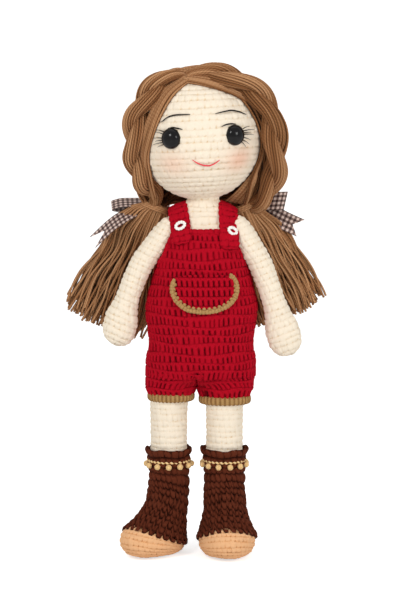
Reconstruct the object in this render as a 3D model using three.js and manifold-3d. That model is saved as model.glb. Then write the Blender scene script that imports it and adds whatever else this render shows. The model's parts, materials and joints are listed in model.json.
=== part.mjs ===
// A stuffed crochet doll in overalls and boots, about 33 cm tall, in millimetres.
// The doll stands on its soles and faces -Y. +X is its own left side and +Z is up.
// Each piece is a closed solid: covers are shells that are open where they are sewn on.
import * as THREE from "three";
import { mergeVertices } from "three/addons/utils/BufferGeometryUtils.js";
import Module from "manifold-3d";

const wasm = await Module();
wasm.setup();

// Fits and fabric thicknesses
const CLEARANCE = 0.3;
const SWING_CLEARANCE = 0.5;
const SKIN_THICKNESS = 2.5;
const FILLING_GAP = 0.5;
const GARMENT_THICKNESS = 2.2;
const THREAD_RADIUS = 0.8;

// Torso: heights of its sections above the hip axis, full widths and depths
const HIP_HEIGHT = 118;
const HIP_WIDTH = 67.6;
const HIP_DEPTH = 40;
const WAIST_RISE = 22;
const WAIST_WIDTH = 64;
const WAIST_DEPTH = 50;
const BELLY_RISE = 46;
const BELLY_WIDTH = 68.6;
const BELLY_DEPTH = 52;
const CHEST_RISE = 88;
const CHEST_WIDTH = 51;
const CHEST_DEPTH = 40;
const SHOULDER_RISE = 104;
const SHOULDER_WIDTH = 48;
const SHOULDER_DEPTH = 28;
const NECK_RISE = 118;
const NECK_DIAMETER = 21.2;
const HIP_SHIFT = -1.7;

// Overalls
const BIB_RISE = 96;
const BIB_WIDTH = 44;
const ARMHOLE_RISE = 68;
const STRAP_WIDTH = 13;
const STRAP_SPACING = 32;
const STRAP_THICKNESS = 2.2;
const STRAP_END_DROP = 6;
const STRAP_LAP = 8;
const BUTTON_DIAMETER = 8.6;
const BUTTON_CORD = 2.2;
const BUTTON_RISE = 98;
const POCKET_WIDTH = 45;
const POCKET_HEIGHT = 22;
const POCKET_TOP_RISE = 63;
const POCKET_THICKNESS = 1.6;
const EDGING_WIDTH = 4;
const EDGING_THICKNESS = 2.6;

// Head, an upright egg that leans a little to the doll's right
const HEAD_WIDTH = 82;
const HEAD_DEPTH = 78;
const HEAD_HEIGHT = 84;
const HEAD_LEAN_DEG = -3;
const EYE_SPACING = 42;
const EYE_WIDTH = 12;
const EYE_HEIGHT = 13.6;
const EYE_BULGE = 4.6;
const EYE_DROP = 1;
const SHANK_DIAMETER = 4;
const SHANK_LENGTH = 9;
const WASHER_DIAMETER = 13;
const WASHER_THICKNESS = 1.5;
const BROW_SPAN = 17;
const BROW_RAISE = 13.5;
const BROW_ARCH = 2.6;
const LASH_SPAN = 15;
const LASH_LENGTH = 4.6;
const MOUTH_WIDTH = 17.5;
const MOUTH_DROP = 15;
const MOUTH_SAG = 4;
const MOUTH_SHIFT = 1;

// Hair
const HAIR_THICKNESS = 5;
const HAIRLINE_Y = -7;
const NAPE_DROP = 32;
const PART_SHIFT_DEG = 11;
const FRINGE_WIDTH = 8;
const FRINGE_THICKNESS = 2.6;
const LOCK_WIDTH = 15;
const LOCK_LIFT = 2.5;
const LOCK_START_DEG = 2;
const LOCK_TURNS = 2;
const LOCK_END_WIDTH = 11;
const TIE_CORD = 2.2;
const PIGTAIL_BALL_DIAMETER = 13;
const PIGTAIL_TILT_DEG = 23.5;
const PIGTAIL_DEPTH = 17;
const PIGTAIL_SET_BACK = 11;
const RIBBON_WIDTH = 12.5;
const RIBBON_THICKNESS = 1;
const KNOT_DIAMETER = 8;
const LOOP_LENGTH = 33;
const LOOP_OPENING = 6;
const TAIL_LENGTH = 45;

// Arms
const ARM_LENGTH = 92;
const ARM_DIAMETER = 15.4;
const HAND_WIDTH = 21.5;
const HAND_DEPTH = 17;
const SHOULDER_JOINT_DROP = 15;
const ARM_SEAT_INSET = 0.8;
const ARM_SEAT_RISE = 84;
const ARM_FORWARD = 6;

// Legs and shorts
const HIP_BALL_RADIUS = 20;
const HIP_ROUNDING_SHARE = 0.42;
const HIP_UNDERCUT_SHARE = 0.62;
const CROTCH_X = -4.3;
const CROTCH_GAP = 0.8;
const LEG_SPACING = 37;
const LEG_DIAMETER = 24;
const SHORTS_THIGH_SHARE = 0.91;
const SHORTS_HIP_SHARE = 0.73;
const SHORTS_WIDTH = 33;
const SHORTS_DEPTH = 31;
const CUFF_BOTTOM = 100;
const CUFF_HEIGHT = 4.4;
const CUFF_THICKNESS = 3;

// Boots
const BOOT_HEIGHT = 62;
const SHAFT_DIAMETER = 26;
const FOOT_LENGTH = 52;
const FOOT_WIDTH = 37.5;
const FOOT_HEEL = 15;
const INSTEP_HEIGHT = 32;
const TOE_HEIGHT = 21;
const SOLE_FLAT_CUT = 2.5;
const SOLE_HEEL_HEIGHT = 8;
const SOLE_TOE_HEIGHT = 18;
const RIM_HEIGHT = 8;
const RIM_DIAMETER = 30.4;
const BRAID_DROP = 4.5;
const BRAID_HEIGHT = 2.4;
const BRAID_THICKNESS = 1.2;
const POMPOM_DIAMETER = 3.6;
const POMPOM_COUNT = 12;

// What differs between the two sides, as the doll stands
const LEFT = {
  tag: "l",
  sign: 1,
  armTiltDeg: 20,
  toeOutDeg: 4,
  lockEndDeg: 144,
  pigtailLength: 74,
};
const RIGHT = {
  tag: "r",
  sign: -1,
  armTiltDeg: 26,
  toeOutDeg: 40,
  lockEndDeg: 139,
  pigtailLength: 84,
};

// Facets
const BODY_SIDES = 16;
const INNER_SIDES = 12;
const LIMB_SIDES = 12;
const BARREL_SIDES = 16;
const LOCK_SIDES = 10;
const THREAD_SIDES = 5;
const SHANK_SIDES = 8;
const FAR = 400;

const rad = THREE.MathUtils.degToRad;
const vec = (x, y, z) => new THREE.Vector3(x, y, z);

// Yarns and other stuffs: colour, roughness, metalness
const STUFFS = {
  skin_yarn: [0xf3e2c6, 0.95],
  red_yarn: [0xa80c22, 0.95],
  tan_yarn: [0x9c7648, 0.95],
  boot_yarn: [0x3c1a10, 0.95],
  sole_yarn: [0xdfa06c, 0.95],
  hair_yarn: [0x855a39, 0.9],
  white_yarn: [0xf4f1ea, 0.95],
  gold_trim: [0xe6bd80, 0.9],
  gingham_ribbon: [0x7d5f52, 0.8],
  black_thread: [0x17110f, 0.8],
  red_thread: [0xb01326, 0.8],
  eye_plastic: [0x0b0908, 0.08],
  washer_plastic: [0xe9e6df, 0.4],
  fibre_stuffing: [0xffffff, 1],
};

const doll = new THREE.Group();

// Joining and cutting closed solids

function solidOf(geometry) {
  const bare = geometry.index ? geometry.clone() : geometry;
  bare.deleteAttribute("normal");
  bare.deleteAttribute("uv");
  const merged = mergeVertices(bare, 1e-4);
  return new wasm.Manifold(
    new wasm.Mesh({
      numProp: 3,
      vertProperties: new Float32Array(merged.attributes.position.array),
      triVerts: new Uint32Array(merged.index.array),
    }),
  );
}

function geometryOf(solid) {
  const { vertProperties, triVerts, numProp, numVert } = solid.getMesh();
  const positions = new Float32Array(numVert * 3);
  for (let i = 0; i < numVert; i++)
    positions.set(vertProperties.subarray(i * numProp, i * numProp + 3), i * 3);
  const geometry = new THREE.BufferGeometry();
  geometry.setAttribute("position", new THREE.BufferAttribute(positions, 3));
  geometry.setIndex(new THREE.BufferAttribute(triVerts, 1));
  geometry.computeVertexNormals();
  return geometry;
}

const join = (first, ...others) => others.reduce((all, s) => all.add(s), first);
const cut = (first, ...others) => others.reduce((rest, s) => rest.subtract(s), first);

function piece(name, solid, stuff, parent = doll) {
  const [color, roughness] = STUFFS[stuff];
  const material = new THREE.MeshStandardMaterial({ color, roughness, metalness: 0 });
  const mesh = new THREE.Mesh(geometryOf(solid), material);
  mesh.name = name;
  parent.add(mesh);
  return mesh;
}

// A group that turns about a pivot, for pieces that are modelled in the doll's own frame.
function hung(name, pivot, leanDeg = 0) {
  const joint = new THREE.Group();
  joint.name = name;
  joint.position.copy(pivot);
  joint.rotation.y = rad(leanDeg);
  const parts = new THREE.Group();
  parts.position.copy(pivot).negate();
  joint.add(parts);
  doll.add(joint);
  return parts;
}

// Basic solids

// A box between two corners, turned and moved by a matrix.
function block(low, high, matrix = new THREE.Matrix4()) {
  const size = high.clone().sub(low);
  const middle = low.clone().add(high).multiplyScalar(0.5);
  const geometry = new THREE.BoxGeometry(size.x, size.y, size.z);
  return solidOf(geometry.translate(middle.x, middle.y, middle.z).applyMatrix4(matrix));
}

const above = (z) => block(vec(-FAR, -FAR, z), vec(FAR, FAR, FAR));
const below = (z) => block(vec(-FAR, -FAR, -FAR), vec(FAR, FAR, z));

// A closed skin over rings: each ring has a centre and two half-axes, and the ends close on the centres.
function loft(rings, sides) {
  const points = [];
  for (const { c, u, v } of rings)
    for (let i = 0; i < sides; i++) {
      const angle = (2 * Math.PI * i) / sides;
      const point = c.clone().addScaledVector(u, Math.cos(angle));
      points.push(point.addScaledVector(v, Math.sin(angle)));
    }
  return skin(points, rings[0].c, rings.at(-1).c, sides);
}

// The closed skin of rings of points that follow each other, with both ends closed on a middle point.
function skin(points, firstMiddle, lastMiddle, sides) {
  const rows = points.length / sides;
  const firstIndex = points.length;
  const all = [...points, firstMiddle, lastMiddle];
  const faces = [];
  for (let i = 0; i < sides; i++) {
    const next = (i + 1) % sides;
    for (let row = 0; row < rows - 1; row++) {
      const a = row * sides + i;
      const b = row * sides + next;
      faces.push(a, b, b + sides, a, b + sides, a + sides);
    }
    const last = (rows - 1) * sides;
    faces.push(firstIndex, next, i, firstIndex + 1, last + i, last + next);
  }
  const geometry = new THREE.BufferGeometry().setFromPoints(all);
  geometry.setIndex(faces);
  const solid = solidOf(geometry);
  if (solid.volume() > 0) return solid;
  for (let i = 0; i < faces.length; i += 3)
    [faces[i + 1], faces[i + 2]] = [faces[i + 2], faces[i + 1]];
  geometry.setIndex(faces);
  return solidOf(geometry);
}

// A level ring at height z with half-width and half-depth.
const ring = (z, halfWidth, halfDepth, x = 0, y = 0) => ({
  c: vec(x, y, z),
  u: vec(halfWidth, 0, 0),
  v: vec(0, halfDepth, 0),
});

// Rings moved and turned by a matrix.
function placed(rings, matrix) {
  const turn = new THREE.Matrix3().setFromMatrix4(matrix);
  return rings.map(({ c, u, v }) => ({
    c: c.clone().applyMatrix4(matrix),
    u: u.clone().applyMatrix3(turn),
    v: v.clone().applyMatrix3(turn),
  }));
}

const ball = (centre, radius, sides = LIMB_SIDES) =>
  solidOf(
    new THREE.SphereGeometry(radius, sides, sides / 2).translate(centre.x, centre.y, centre.z),
  );

// A round band about the Z axis, with a cord-shaped section.
function band(radius, cordRadius, around, sides) {
  return new THREE.TorusGeometry(radius, cordRadius, sides, around);
}

// A thread along a curve through the points.
function thread(points, radius, steps) {
  const section = new THREE.Shape();
  for (let i = 0; i < THREAD_SIDES; i++) {
    const angle = (2 * Math.PI * i) / THREAD_SIDES;
    section[i ? "lineTo" : "moveTo"](radius * Math.cos(angle), radius * Math.sin(angle));
  }
  const extrudePath = new THREE.CatmullRomCurve3(points);
  return solidOf(
    new THREE.ExtrudeGeometry(section, { steps, extrudePath, bevelEnabled: false }),
  );
}

// A flat outline in the XZ plane carried along Y, from y0 to y1.
function slab(outline, y0, y1) {
  const geometry = new THREE.ExtrudeGeometry(new THREE.Shape(outline), {
    depth: y1 - y0,
    bevelEnabled: false,
    curveSegments: BODY_SIDES,
  });
  geometry.rotateX(Math.PI / 2).translate(0, y1, 0);
  return solidOf(geometry);
}

// Torso form

const NECK_RADIUS = NECK_DIAMETER / 2;
const NECK_PIVOT = vec(0, 0, HIP_HEIGHT + NECK_RISE);

// Section sizes of the torso at a height: a smooth curve through the named sections.
const torsoCurve = new THREE.CatmullRomCurve3(
  [
    [0, HIP_WIDTH, HIP_DEPTH],
    [WAIST_RISE / 2, HIP_WIDTH, (HIP_DEPTH + WAIST_DEPTH) / 2 + 1.5],
    [WAIST_RISE, WAIST_WIDTH, WAIST_DEPTH],
    [BELLY_RISE, BELLY_WIDTH, BELLY_DEPTH],
    [(BELLY_RISE + CHEST_RISE) / 2, (BELLY_WIDTH + CHEST_WIDTH) / 2, (BELLY_DEPTH + CHEST_DEPTH) / 2],
    [CHEST_RISE, CHEST_WIDTH, CHEST_DEPTH],
    [SHOULDER_RISE, SHOULDER_WIDTH, SHOULDER_DEPTH],
    [
      (SHOULDER_RISE + NECK_RISE) / 2,
      (SHOULDER_WIDTH + NECK_DIAMETER) / 2,
      (SHOULDER_DEPTH + NECK_DIAMETER) / 2,
    ],
    [NECK_RISE, NECK_DIAMETER, NECK_DIAMETER],
  ].map(([rise, width, depth]) => vec(width / 2, depth / 2, rise)),
);
const TORSO_ROWS = 11;
const torsoSections = torsoCurve.getPoints(TORSO_ROWS);

// The hips are set over to one side, and the shift fades out towards the neck.
const torsoShift = (rise) => HIP_SHIFT * (1 - rise / NECK_RISE);

// The torso and neck, grown outwards all round by a distance, with a round neck top.
function torso(grow) {
  const rings = torsoSections.map((s) =>
    ring(HIP_HEIGHT + s.z, s.x + grow, s.y + grow, torsoShift(s.z)),
  );
  rings[0].c.z -= Math.max(0, -grow) + 1;
  const neck = NECK_RADIUS + grow;
  for (const deg of [30, 58, 80]) {
    const wide = neck * Math.cos(rad(deg));
    rings.push(ring(NECK_PIVOT.z + neck * Math.sin(rad(deg)), wide, wide));
  }
  return loft(rings, grow < 0 ? INNER_SIDES : BODY_SIDES);
}

// The half-width and half-depth of the torso at a rise above the hips.
function torsoAt(rise) {
  const i = torsoSections.findIndex((s) => s.z >= rise);
  const [low, high] = [torsoSections[i - 1], torsoSections[i]];
  return low.clone().lerp(high, (rise - low.z) / (high.z - low.z));
}

// The front of the grown torso at a place across and a rise.
function torsoFront(x, rise, grow) {
  const { x: wide, y: deep } = torsoAt(rise);
  const across = (x - torsoShift(rise)) / (wide + grow);
  return -(deep + grow) * Math.sqrt(1 - across * across);
}

// Hips: the top of each leg is a barrel turned about the hip axis, which sits in a socket of the torso.

function hipBarrel(side, grow) {
  const inner = CROTCH_X + (side.sign * CROTCH_GAP) / 2;
  const outer = HIP_SHIFT + side.sign * (HIP_WIDTH / 2 + CLEARANCE + GARMENT_THICKNESS - 1);
  const long = Math.abs(outer - inner);
  // A socket's facets stay outside the circle that its barrel turns in.
  const facet = grow > 0 ? Math.cos(Math.PI / BARREL_SIDES) : 1;
  const radius = (HIP_BALL_RADIUS + grow) / facet;
  const rounding = HIP_ROUNDING_SHARE * long;
  const profile = [new THREE.Vector2(0, -grow), new THREE.Vector2(radius, -grow)];
  const arcs = 3;
  for (let i = 0; i <= arcs; i++) {
    const angle = (i * Math.PI) / (2 * arcs);
    const x = long - rounding + (rounding + grow) * Math.sin(angle);
    profile.push(new THREE.Vector2(i === arcs ? 0 : radius * Math.cos(angle), x));
  }
  const geometry = new THREE.LatheGeometry(profile, BARREL_SIDES);
  geometry.rotateZ((-side.sign * Math.PI) / 2).translate(inner, 0, HIP_HEIGHT);
  return solidOf(geometry).intersect(above(HIP_HEIGHT - HIP_UNDERCUT_SHARE * radius));
}

const FILLING = -SKIN_THICKNESS - FILLING_GAP;
const hipSockets = join(hipBarrel(LEFT, SWING_CLEARANCE), hipBarrel(RIGHT, SWING_CLEARANCE));
const seatLevel = above(HIP_HEIGHT + CLEARANCE);
const GARMENT_INSIDE = CLEARANCE;
const GARMENT_OUTSIDE = GARMENT_INSIDE + GARMENT_THICKNESS;
const SHOULDER_FACE = SHOULDER_WIDTH / 2 - ARM_SEAT_INSET;

// The part of the torso between the two flat seats of the arms.
const betweenArms = block(
  vec(torsoShift(SHOULDER_RISE) - SHOULDER_FACE, -FAR, HIP_HEIGHT + ARM_SEAT_RISE),
  vec(torsoShift(SHOULDER_RISE) + SHOULDER_FACE, FAR, FAR),
);
const armSeats = join(betweenArms, below(HIP_HEIGHT + ARM_SEAT_RISE + CLEARANCE));

// The front outline of the overalls, grown by a distance: straight bib sides slope down to the armholes.
function garment(grow) {
  const bib = BIB_WIDTH / 2 + grow;
  const side = torsoAt(ARMHOLE_RISE).x + GARMENT_OUTSIDE + 1 + grow;
  const bibTop = HIP_HEIGHT + BIB_RISE + grow;
  const armhole = HIP_HEIGHT + ARMHOLE_RISE + grow;
  const outline = [
    [-FAR, 0],
    [FAR, 0],
    [FAR, armhole],
    [side, armhole],
    [bib, bibTop],
    [-bib, bibTop],
    [-side, armhole],
    [-FAR, armhole],
  ].map(([x, z]) => new THREE.Vector2(x, z));
  return slab(outline, -FAR, FAR);
}

function makeTorso() {
  const cover = cut(torso(0), torso(-SKIN_THICKNESS), hipSockets);
  piece("body_cover", cover.intersect(seatLevel).intersect(armSeats), "skin_yarn");
  const filling = cut(torso(FILLING), hipSockets);
  piece("body_stuffing", filling.intersect(seatLevel), "fibre_stuffing");

  const trunk = cut(torso(GARMENT_OUTSIDE), torso(GARMENT_INSIDE), hipSockets);
  piece("overalls_trunk", trunk.intersect(garment(0)).intersect(seatLevel), "red_yarn");
  for (const s of [LEFT, RIGHT]) makeStrap(s, HIP_HEIGHT + BIB_RISE);
  makePocket();
}

// A strap lies on the body over the shoulder and laps over the bib in front and behind.
function makeStrap(side, bibTop) {
  const over = GARMENT_OUTSIDE + CLEARANCE;
  const x = (side.sign * STRAP_SPACING) / 2;
  const column = block(
    vec(x - STRAP_WIDTH / 2, -FAR, bibTop - STRAP_END_DROP),
    vec(x + STRAP_WIDTH / 2, FAR, NECK_PIVOT.z - CLEARANCE - STRAP_THICKNESS),
  );
  const lapTop = bibTop + STRAP_LAP;
  const low = cut(torso(over + STRAP_THICKNESS), torso(over)).intersect(below(lapTop));
  const step = cut(torso(over + STRAP_THICKNESS), torso(CLEARANCE));
  const stepBand = block(vec(-FAR, -FAR, bibTop + CLEARANCE), vec(FAR, FAR, lapTop));
  const high = cut(torso(CLEARANCE + STRAP_THICKNESS), torso(CLEARANCE));
  const top = high.intersect(above(bibTop + CLEARANCE));
  const strap = join(low, step.intersect(stepBand), top).intersect(column);
  piece("strap_" + side.tag, strap, "red_yarn");

  const rise = BUTTON_RISE;
  const face = over + STRAP_THICKNESS + CLEARANCE;
  const reach = BUTTON_DIAMETER / 2 - BUTTON_CORD / 2;
  const place = vec(x, torsoFront(x, rise, face), HIP_HEIGHT + rise);
  const higher = torsoFront(x, rise + 2, face);
  const wider = torsoFront(x + 2, rise, face);
  const up = vec(0, higher - place.y, 2).normalize();
  const across = vec(2, wider - place.y, 0).normalize();
  const out = across.clone().cross(up).normalize();
  const turn = new THREE.Matrix4().makeBasis(up.clone().cross(out), up, out);
  turn.setPosition(place.addScaledVector(out, BUTTON_CORD / 2));
  const hoop = band(reach, BUTTON_CORD / 2, LIMB_SIDES, THREAD_SIDES).applyMatrix4(turn);
  piece("button_" + side.tag, solidOf(hoop), "white_yarn");
}

// The half-moon pocket is a patch on the belly with a thicker edging round its curve.
function makePocket() {
  const z = HIP_HEIGHT + POCKET_TOP_RISE;
  const moon = (inset) => {
    const points = [];
    for (let i = 0; i <= LIMB_SIDES; i++) {
      const angle = Math.PI + (Math.PI * i) / LIMB_SIDES;
      const wide = POCKET_WIDTH / 2 - inset;
      const high = POCKET_HEIGHT - inset;
      points.push(new THREE.Vector2(wide * Math.cos(angle), z + high * Math.sin(angle)));
    }
    return slab(points, -FAR, 0);
  };
  const on = GARMENT_OUTSIDE + CLEARANCE;
  const patch = cut(torso(on + POCKET_THICKNESS), torso(on));
  piece("pocket", patch.intersect(moon(EDGING_WIDTH + CLEARANCE)), "red_yarn");
  const edge = cut(torso(on + EDGING_THICKNESS), torso(on)).intersect(moon(0));
  piece("pocket_edging", cut(edge, moon(EDGING_WIDTH).add(above(z - CLEARANCE))), "tan_yarn");
}

// Head

const HEAD_CENTRE = vec(0, 0, NECK_PIVOT.z + HEAD_HEIGHT / 2);
const headParts = hung("neck", NECK_PIVOT, HEAD_LEAN_DEG);

const headSize = (grow) =>
  vec(HEAD_WIDTH / 2 + grow, HEAD_DEPTH / 2 + grow, HEAD_HEIGHT / 2 + grow);

function head(grow) {
  const sides = grow < 0 ? INNER_SIDES : BODY_SIDES;
  const size = headSize(grow);
  const rings = [];
  const rows = sides / 2;
  for (let i = 0; i <= rows; i++) {
    const angle = rad(6) + (rad(168) * i) / rows;
    const z = HEAD_CENTRE.z - size.z * Math.cos(angle);
    rings.push(ring(z, size.x * Math.sin(angle), size.y * Math.sin(angle)));
  }
  return loft(rings, sides);
}

// The point on the front of the grown head at a place across and a height above the head's centre.
function faceAt(x, up, grow) {
  const size = headSize(grow);
  const rest = 1 - (x / size.x) ** 2 - (up / size.z) ** 2;
  return vec(x, -size.y * Math.sqrt(rest), HEAD_CENTRE.z + up);
}

// The direction straight out of the face at such a point.
function faceOut(x, up) {
  const size = headSize(0);
  const p = faceAt(x, up, 0);
  return vec(p.x / size.x ** 2, p.y / size.y ** 2, up / size.z ** 2).normalize();
}

// A disc-like solid standing on the face: a turned profile about the outward direction.
function turnedOnFace(profile, x, up, sides, widthShare = 1) {
  const geometry = new THREE.LatheGeometry(
    profile.map(([r, h]) => new THREE.Vector2(r, h)),
    sides,
  );
  geometry.rotateX(Math.PI / 2).scale(widthShare, 1, 1);
  const out = faceOut(x, up);
  const across = vec(0, 0, 1).cross(out).normalize();
  const upward = out.clone().cross(across);
  const turn = new THREE.Matrix4().makeBasis(across, upward, out).setPosition(faceAt(x, up, 0));
  return solidOf(geometry.applyMatrix4(turn));
}

function makeHead() {
  const facet = Math.cos(Math.PI / BODY_SIDES) ** 2;
  const neckSocket = ball(NECK_PIVOT, (NECK_RADIUS + SWING_CLEARANCE) / facet, BODY_SIDES);
  const shankHoles = [];
  const washerRooms = [];
  for (const side of [LEFT, RIGHT]) {
    const x = (side.sign * EYE_SPACING) / 2;
    const up = -EYE_DROP;
    const tall = EYE_HEIGHT / 2;
    const shank = SHANK_DIAMETER / 2;
    const dome = [
      [0, -2],
      [tall, -2],
      [tall, CLEARANCE + 0.6],
      [0.86 * tall, 0.55 * EYE_BULGE],
      [0.55 * tall, 0.87 * EYE_BULGE],
      [0, EYE_BULGE],
    ];
    const share = EYE_WIDTH / EYE_HEIGHT;
    const bead = cut(turnedOnFace(dome, x, up, LIMB_SIDES, share), head(CLEARANCE));
    const pin = (grow) => [
      [0, -SHANK_LENGTH - grow],
      [shank + grow, -SHANK_LENGTH - grow],
      [shank + grow, 1.5],
      [0, 1.5],
    ];
    piece("eye_" + side.tag, join(bead, turnedOnFace(pin(0), x, up, SHANK_SIDES)), "eye_plastic", headParts);

    const wide = WASHER_DIAMETER / 2;
    const hollow = wide ** 2 / (HEAD_DEPTH - 2 * SKIN_THICKNESS);
    const facetDepth = (HEAD_WIDTH / 2) * (1 - Math.cos(Math.PI / INNER_SIDES));
    const seat = -SKIN_THICKNESS - 2 * CLEARANCE - hollow - facetDepth;
    const disc = (grow, top) => [
      [0, seat - WASHER_THICKNESS - grow],
      [wide + grow, seat - WASHER_THICKNESS - grow],
      [wide + grow, top],
      [0, top],
    ];
    const hole = turnedOnFace(pin(CLEARANCE), x, up, SHANK_SIDES);
    const washer = cut(turnedOnFace(disc(0, seat), x, up, LIMB_SIDES), hole);
    piece("eye_washer_" + side.tag, washer, "washer_plastic", headParts);
    shankHoles.push(hole);
    washerRooms.push(turnedOnFace(disc(CLEARANCE, 0), x, up, LIMB_SIDES));
    makeFaceThreads(side);
  }
  const shell = cut(head(0), head(-SKIN_THICKNESS), neckSocket, ...shankHoles);
  piece("head_cover", shell, "skin_yarn", headParts);
  const filling = cut(head(FILLING), neckSocket, ...shankHoles, ...washerRooms);
  piece("head_stuffing", filling, "fibre_stuffing", headParts);

  const smile = [-1, -0.5, 0, 0.5, 1].map((t) => {
    const x = MOUTH_SHIFT + (t * MOUTH_WIDTH) / 2;
    return faceAt(x, -MOUTH_DROP - MOUTH_SAG * (1 - t * t), THREAD_RADIUS + CLEARANCE);
  });
  piece("mouth", thread(smile, THREAD_RADIUS, 6), "red_thread", headParts);
}

// Embroidered brow, lash line over the eye and three outer lashes.
function makeFaceThreads(side) {
  const lift = THREAD_RADIUS + CLEARANCE;
  const eyeX = EYE_SPACING / 2;
  const at = (x, up) => faceAt(side.sign * x, up, lift);
  const brow = [-1, -0.5, 0, 0.5, 1].map((t) =>
    at(eyeX + (t * BROW_SPAN) / 2, BROW_RAISE + BROW_ARCH * (1 - t * t) - 1),
  );
  piece("eyebrow_" + side.tag, thread(brow, THREAD_RADIUS, 6), "black_thread", headParts);

  const clearOfEye = EYE_HEIGHT / 2 + THREAD_RADIUS + CLEARANCE;
  const line = [150, 125, 95, 65, 35, 5, -20].map((deg) => {
    const a = rad(deg);
    const wide = (clearOfEye * LASH_SPAN) / EYE_HEIGHT;
    return at(eyeX + wide * Math.cos(a) * 0.96, -EYE_DROP + clearOfEye * Math.sin(a));
  });
  const lashes = [22, 2, -16].map((deg) => {
    const a = rad(deg);
    const wide = (clearOfEye * LASH_SPAN) / EYE_HEIGHT;
    const from = at(eyeX + wide * Math.cos(a) * 0.96, -EYE_DROP + clearOfEye * Math.sin(a));
    const far = wide + LASH_LENGTH;
    const to = at(eyeX + far * Math.cos(a), -EYE_DROP + far * Math.sin(a));
    return thread([from, from.clone().lerp(to, 0.5), to], THREAD_RADIUS, 1);
  });
  const all = join(thread(line, THREAD_RADIUS, 8), ...lashes);
  piece("eyelashes_" + side.tag, cut(all, head(CLEARANCE)), "black_thread", headParts);
}

// Hair

// A place over the head: the turn from the crown to the side, the lift off the head and the depth y.
function overHead(side, turnDeg, lift, y) {
  const size = headSize(lift);
  const level = Math.sqrt(1 - (y / size.y) ** 2);
  const angle = rad(turnDeg);
  return vec(
    side.sign * size.x * level * Math.sin(angle),
    y,
    HEAD_CENTRE.z + size.z * level * Math.cos(angle),
  );
}

// A lock along a path whose section is given by a function of the share of length and the angle.
function lock(points, steps, sectionAt) {
  const path = new THREE.CatmullRomCurve3(points);
  const { normals, binormals } = path.computeFrenetFrames(steps, false);
  const skinPoints = [];
  for (let i = 0; i <= steps; i++) {
    const centre = path.getPointAt(i / steps);
    for (let k = 0; k < LOCK_SIDES; k++) {
      const angle = (2 * Math.PI * k) / LOCK_SIDES;
      const { x, y } = sectionAt(i / steps, angle);
      const point = centre.clone().addScaledVector(normals[i], x);
      skinPoints.push(point.addScaledVector(binormals[i], y));
    }
  }
  return skin(skinPoints, path.getPointAt(0), path.getPointAt(1), LOCK_SIDES);
}

// The twisted lock of a side: a two-lobed rope that swells from the part and narrows to the tie.
function lockPath(side) {
  const part = LOCK_START_DEG - side.sign * PART_SHIFT_DEG;
  const over = HAIR_THICKNESS + LOCK_LIFT;
  return [
    overHead(side, part, LOCK_LIFT, -9),
    overHead(side, part + 28, HAIR_THICKNESS, -15),
    overHead(side, 68, over, -15),
    overHead(side, 96, over + 2, -11),
    overHead(side, 120, over + 3.5, -3),
    overHead(side, side.lockEndDeg, over + 6, 9),
  ];
}

function twistedLock(side, grow) {
  return lock(lockPath(side), 18, (t, angle) => {
    const swell = Math.min(1, 0.45 + 2 * t);
    const end = LOCK_END_WIDTH / 2;
    const full = (LOCK_WIDTH / 2) * swell;
    const turn = side.sign * 2 * Math.PI * LOCK_TURNS * t;
    const lobe = 1 + 0.16 * Math.cos(2 * (angle - turn));
    const atTie = THREE.MathUtils.smoothstep(t, 0.8, 0.94);
    const radius = (1 - atTie) * full * lobe + atTie * end + grow;
    return { x: radius * Math.cos(angle), y: radius * Math.sin(angle) };
  });
}

// The flat fringe lies along the edge of the hair on the head, in front of the twisted lock.
function fringe(side, grow) {
  const part = 5 - side.sign * PART_SHIFT_DEG;
  const lift = FRINGE_THICKNESS / 2 + CLEARANCE;
  const stations = [
    [part, -10],
    [part + 24, -18],
    [62, -19],
    [88, -16],
    [112, -12],
    [128, -8],
  ].map(([turn, y]) => ({ p: overHead(side, turn, lift, y), turn }));
  const path = new THREE.CatmullRomCurve3(stations.map((s) => s.p));
  const steps = 10;
  const points = [];
  for (let i = 0; i <= steps; i++) {
    const t = i / steps;
    const centre = path.getPointAt(t);
    const size = headSize(lift);
    const out = centre.clone().sub(HEAD_CENTRE).divide(size.clone().multiply(size)).normalize();
    const across = path.getTangentAt(t).cross(out).normalize();
    const end = Math.min(1, 0.35 + 3 * t, 0.35 + 3 * (1 - t));
    for (let k = 0; k < THREAD_SIDES + 1; k++) {
      const angle = (2 * Math.PI * k) / (THREAD_SIDES + 1);
      const wide = (FRINGE_WIDTH / 2) * end + grow;
      const point = centre.clone().addScaledVector(across, wide * Math.cos(angle));
      const thick = FRINGE_THICKNESS / 2 + grow;
      points.push(point.addScaledVector(out, thick * Math.sin(angle)));
    }
  }
  return skin(points, path.getPointAt(0), path.getPointAt(1), THREAD_SIDES + 1);
}

function makeHair() {
  const onHead = head(CLEARANCE);
  const locks = [LEFT, RIGHT].map((side) => twistedLock(side, CLEARANCE));
  const fringes = [LEFT, RIGHT].map((side) => fringe(side, CLEARANCE));
  const reach = block(
    vec(-FAR, HAIRLINE_Y, HEAD_CENTRE.z - NAPE_DROP),
    vec(FAR, FAR, FAR),
  );
  const cap = cut(head(HAIR_THICKNESS), onHead, ...locks, ...fringes).intersect(reach);
  piece("hair_cap", cap, "hair_yarn", headParts);
  for (const [i, side] of [LEFT, RIGHT].entries()) {
    const other = fringe(side === LEFT ? RIGHT : LEFT, CLEARANCE);
    const clearOfOther = side === LEFT ? [] : [other];
    const flat = cut(fringe(side, 0), onHead, ...clearOfOther);
    piece("fringe_" + side.tag, flat, "hair_yarn", headParts);
    const clearOfLock = side === LEFT ? [] : [locks[1 - i]];
    const rope = cut(twistedLock(side, 0), onHead, ...fringes, ...clearOfLock);
    piece("twist_" + side.tag, rope, "hair_yarn", headParts);
    makeTie(side);
  }
}

// The frame at the end of a lock: its end point and the direction that it leaves in.
function lockEnd(side) {
  const path = new THREE.CatmullRomCurve3(lockPath(side));
  return { point: path.getPointAt(1), along: path.getTangentAt(1) };
}

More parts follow.
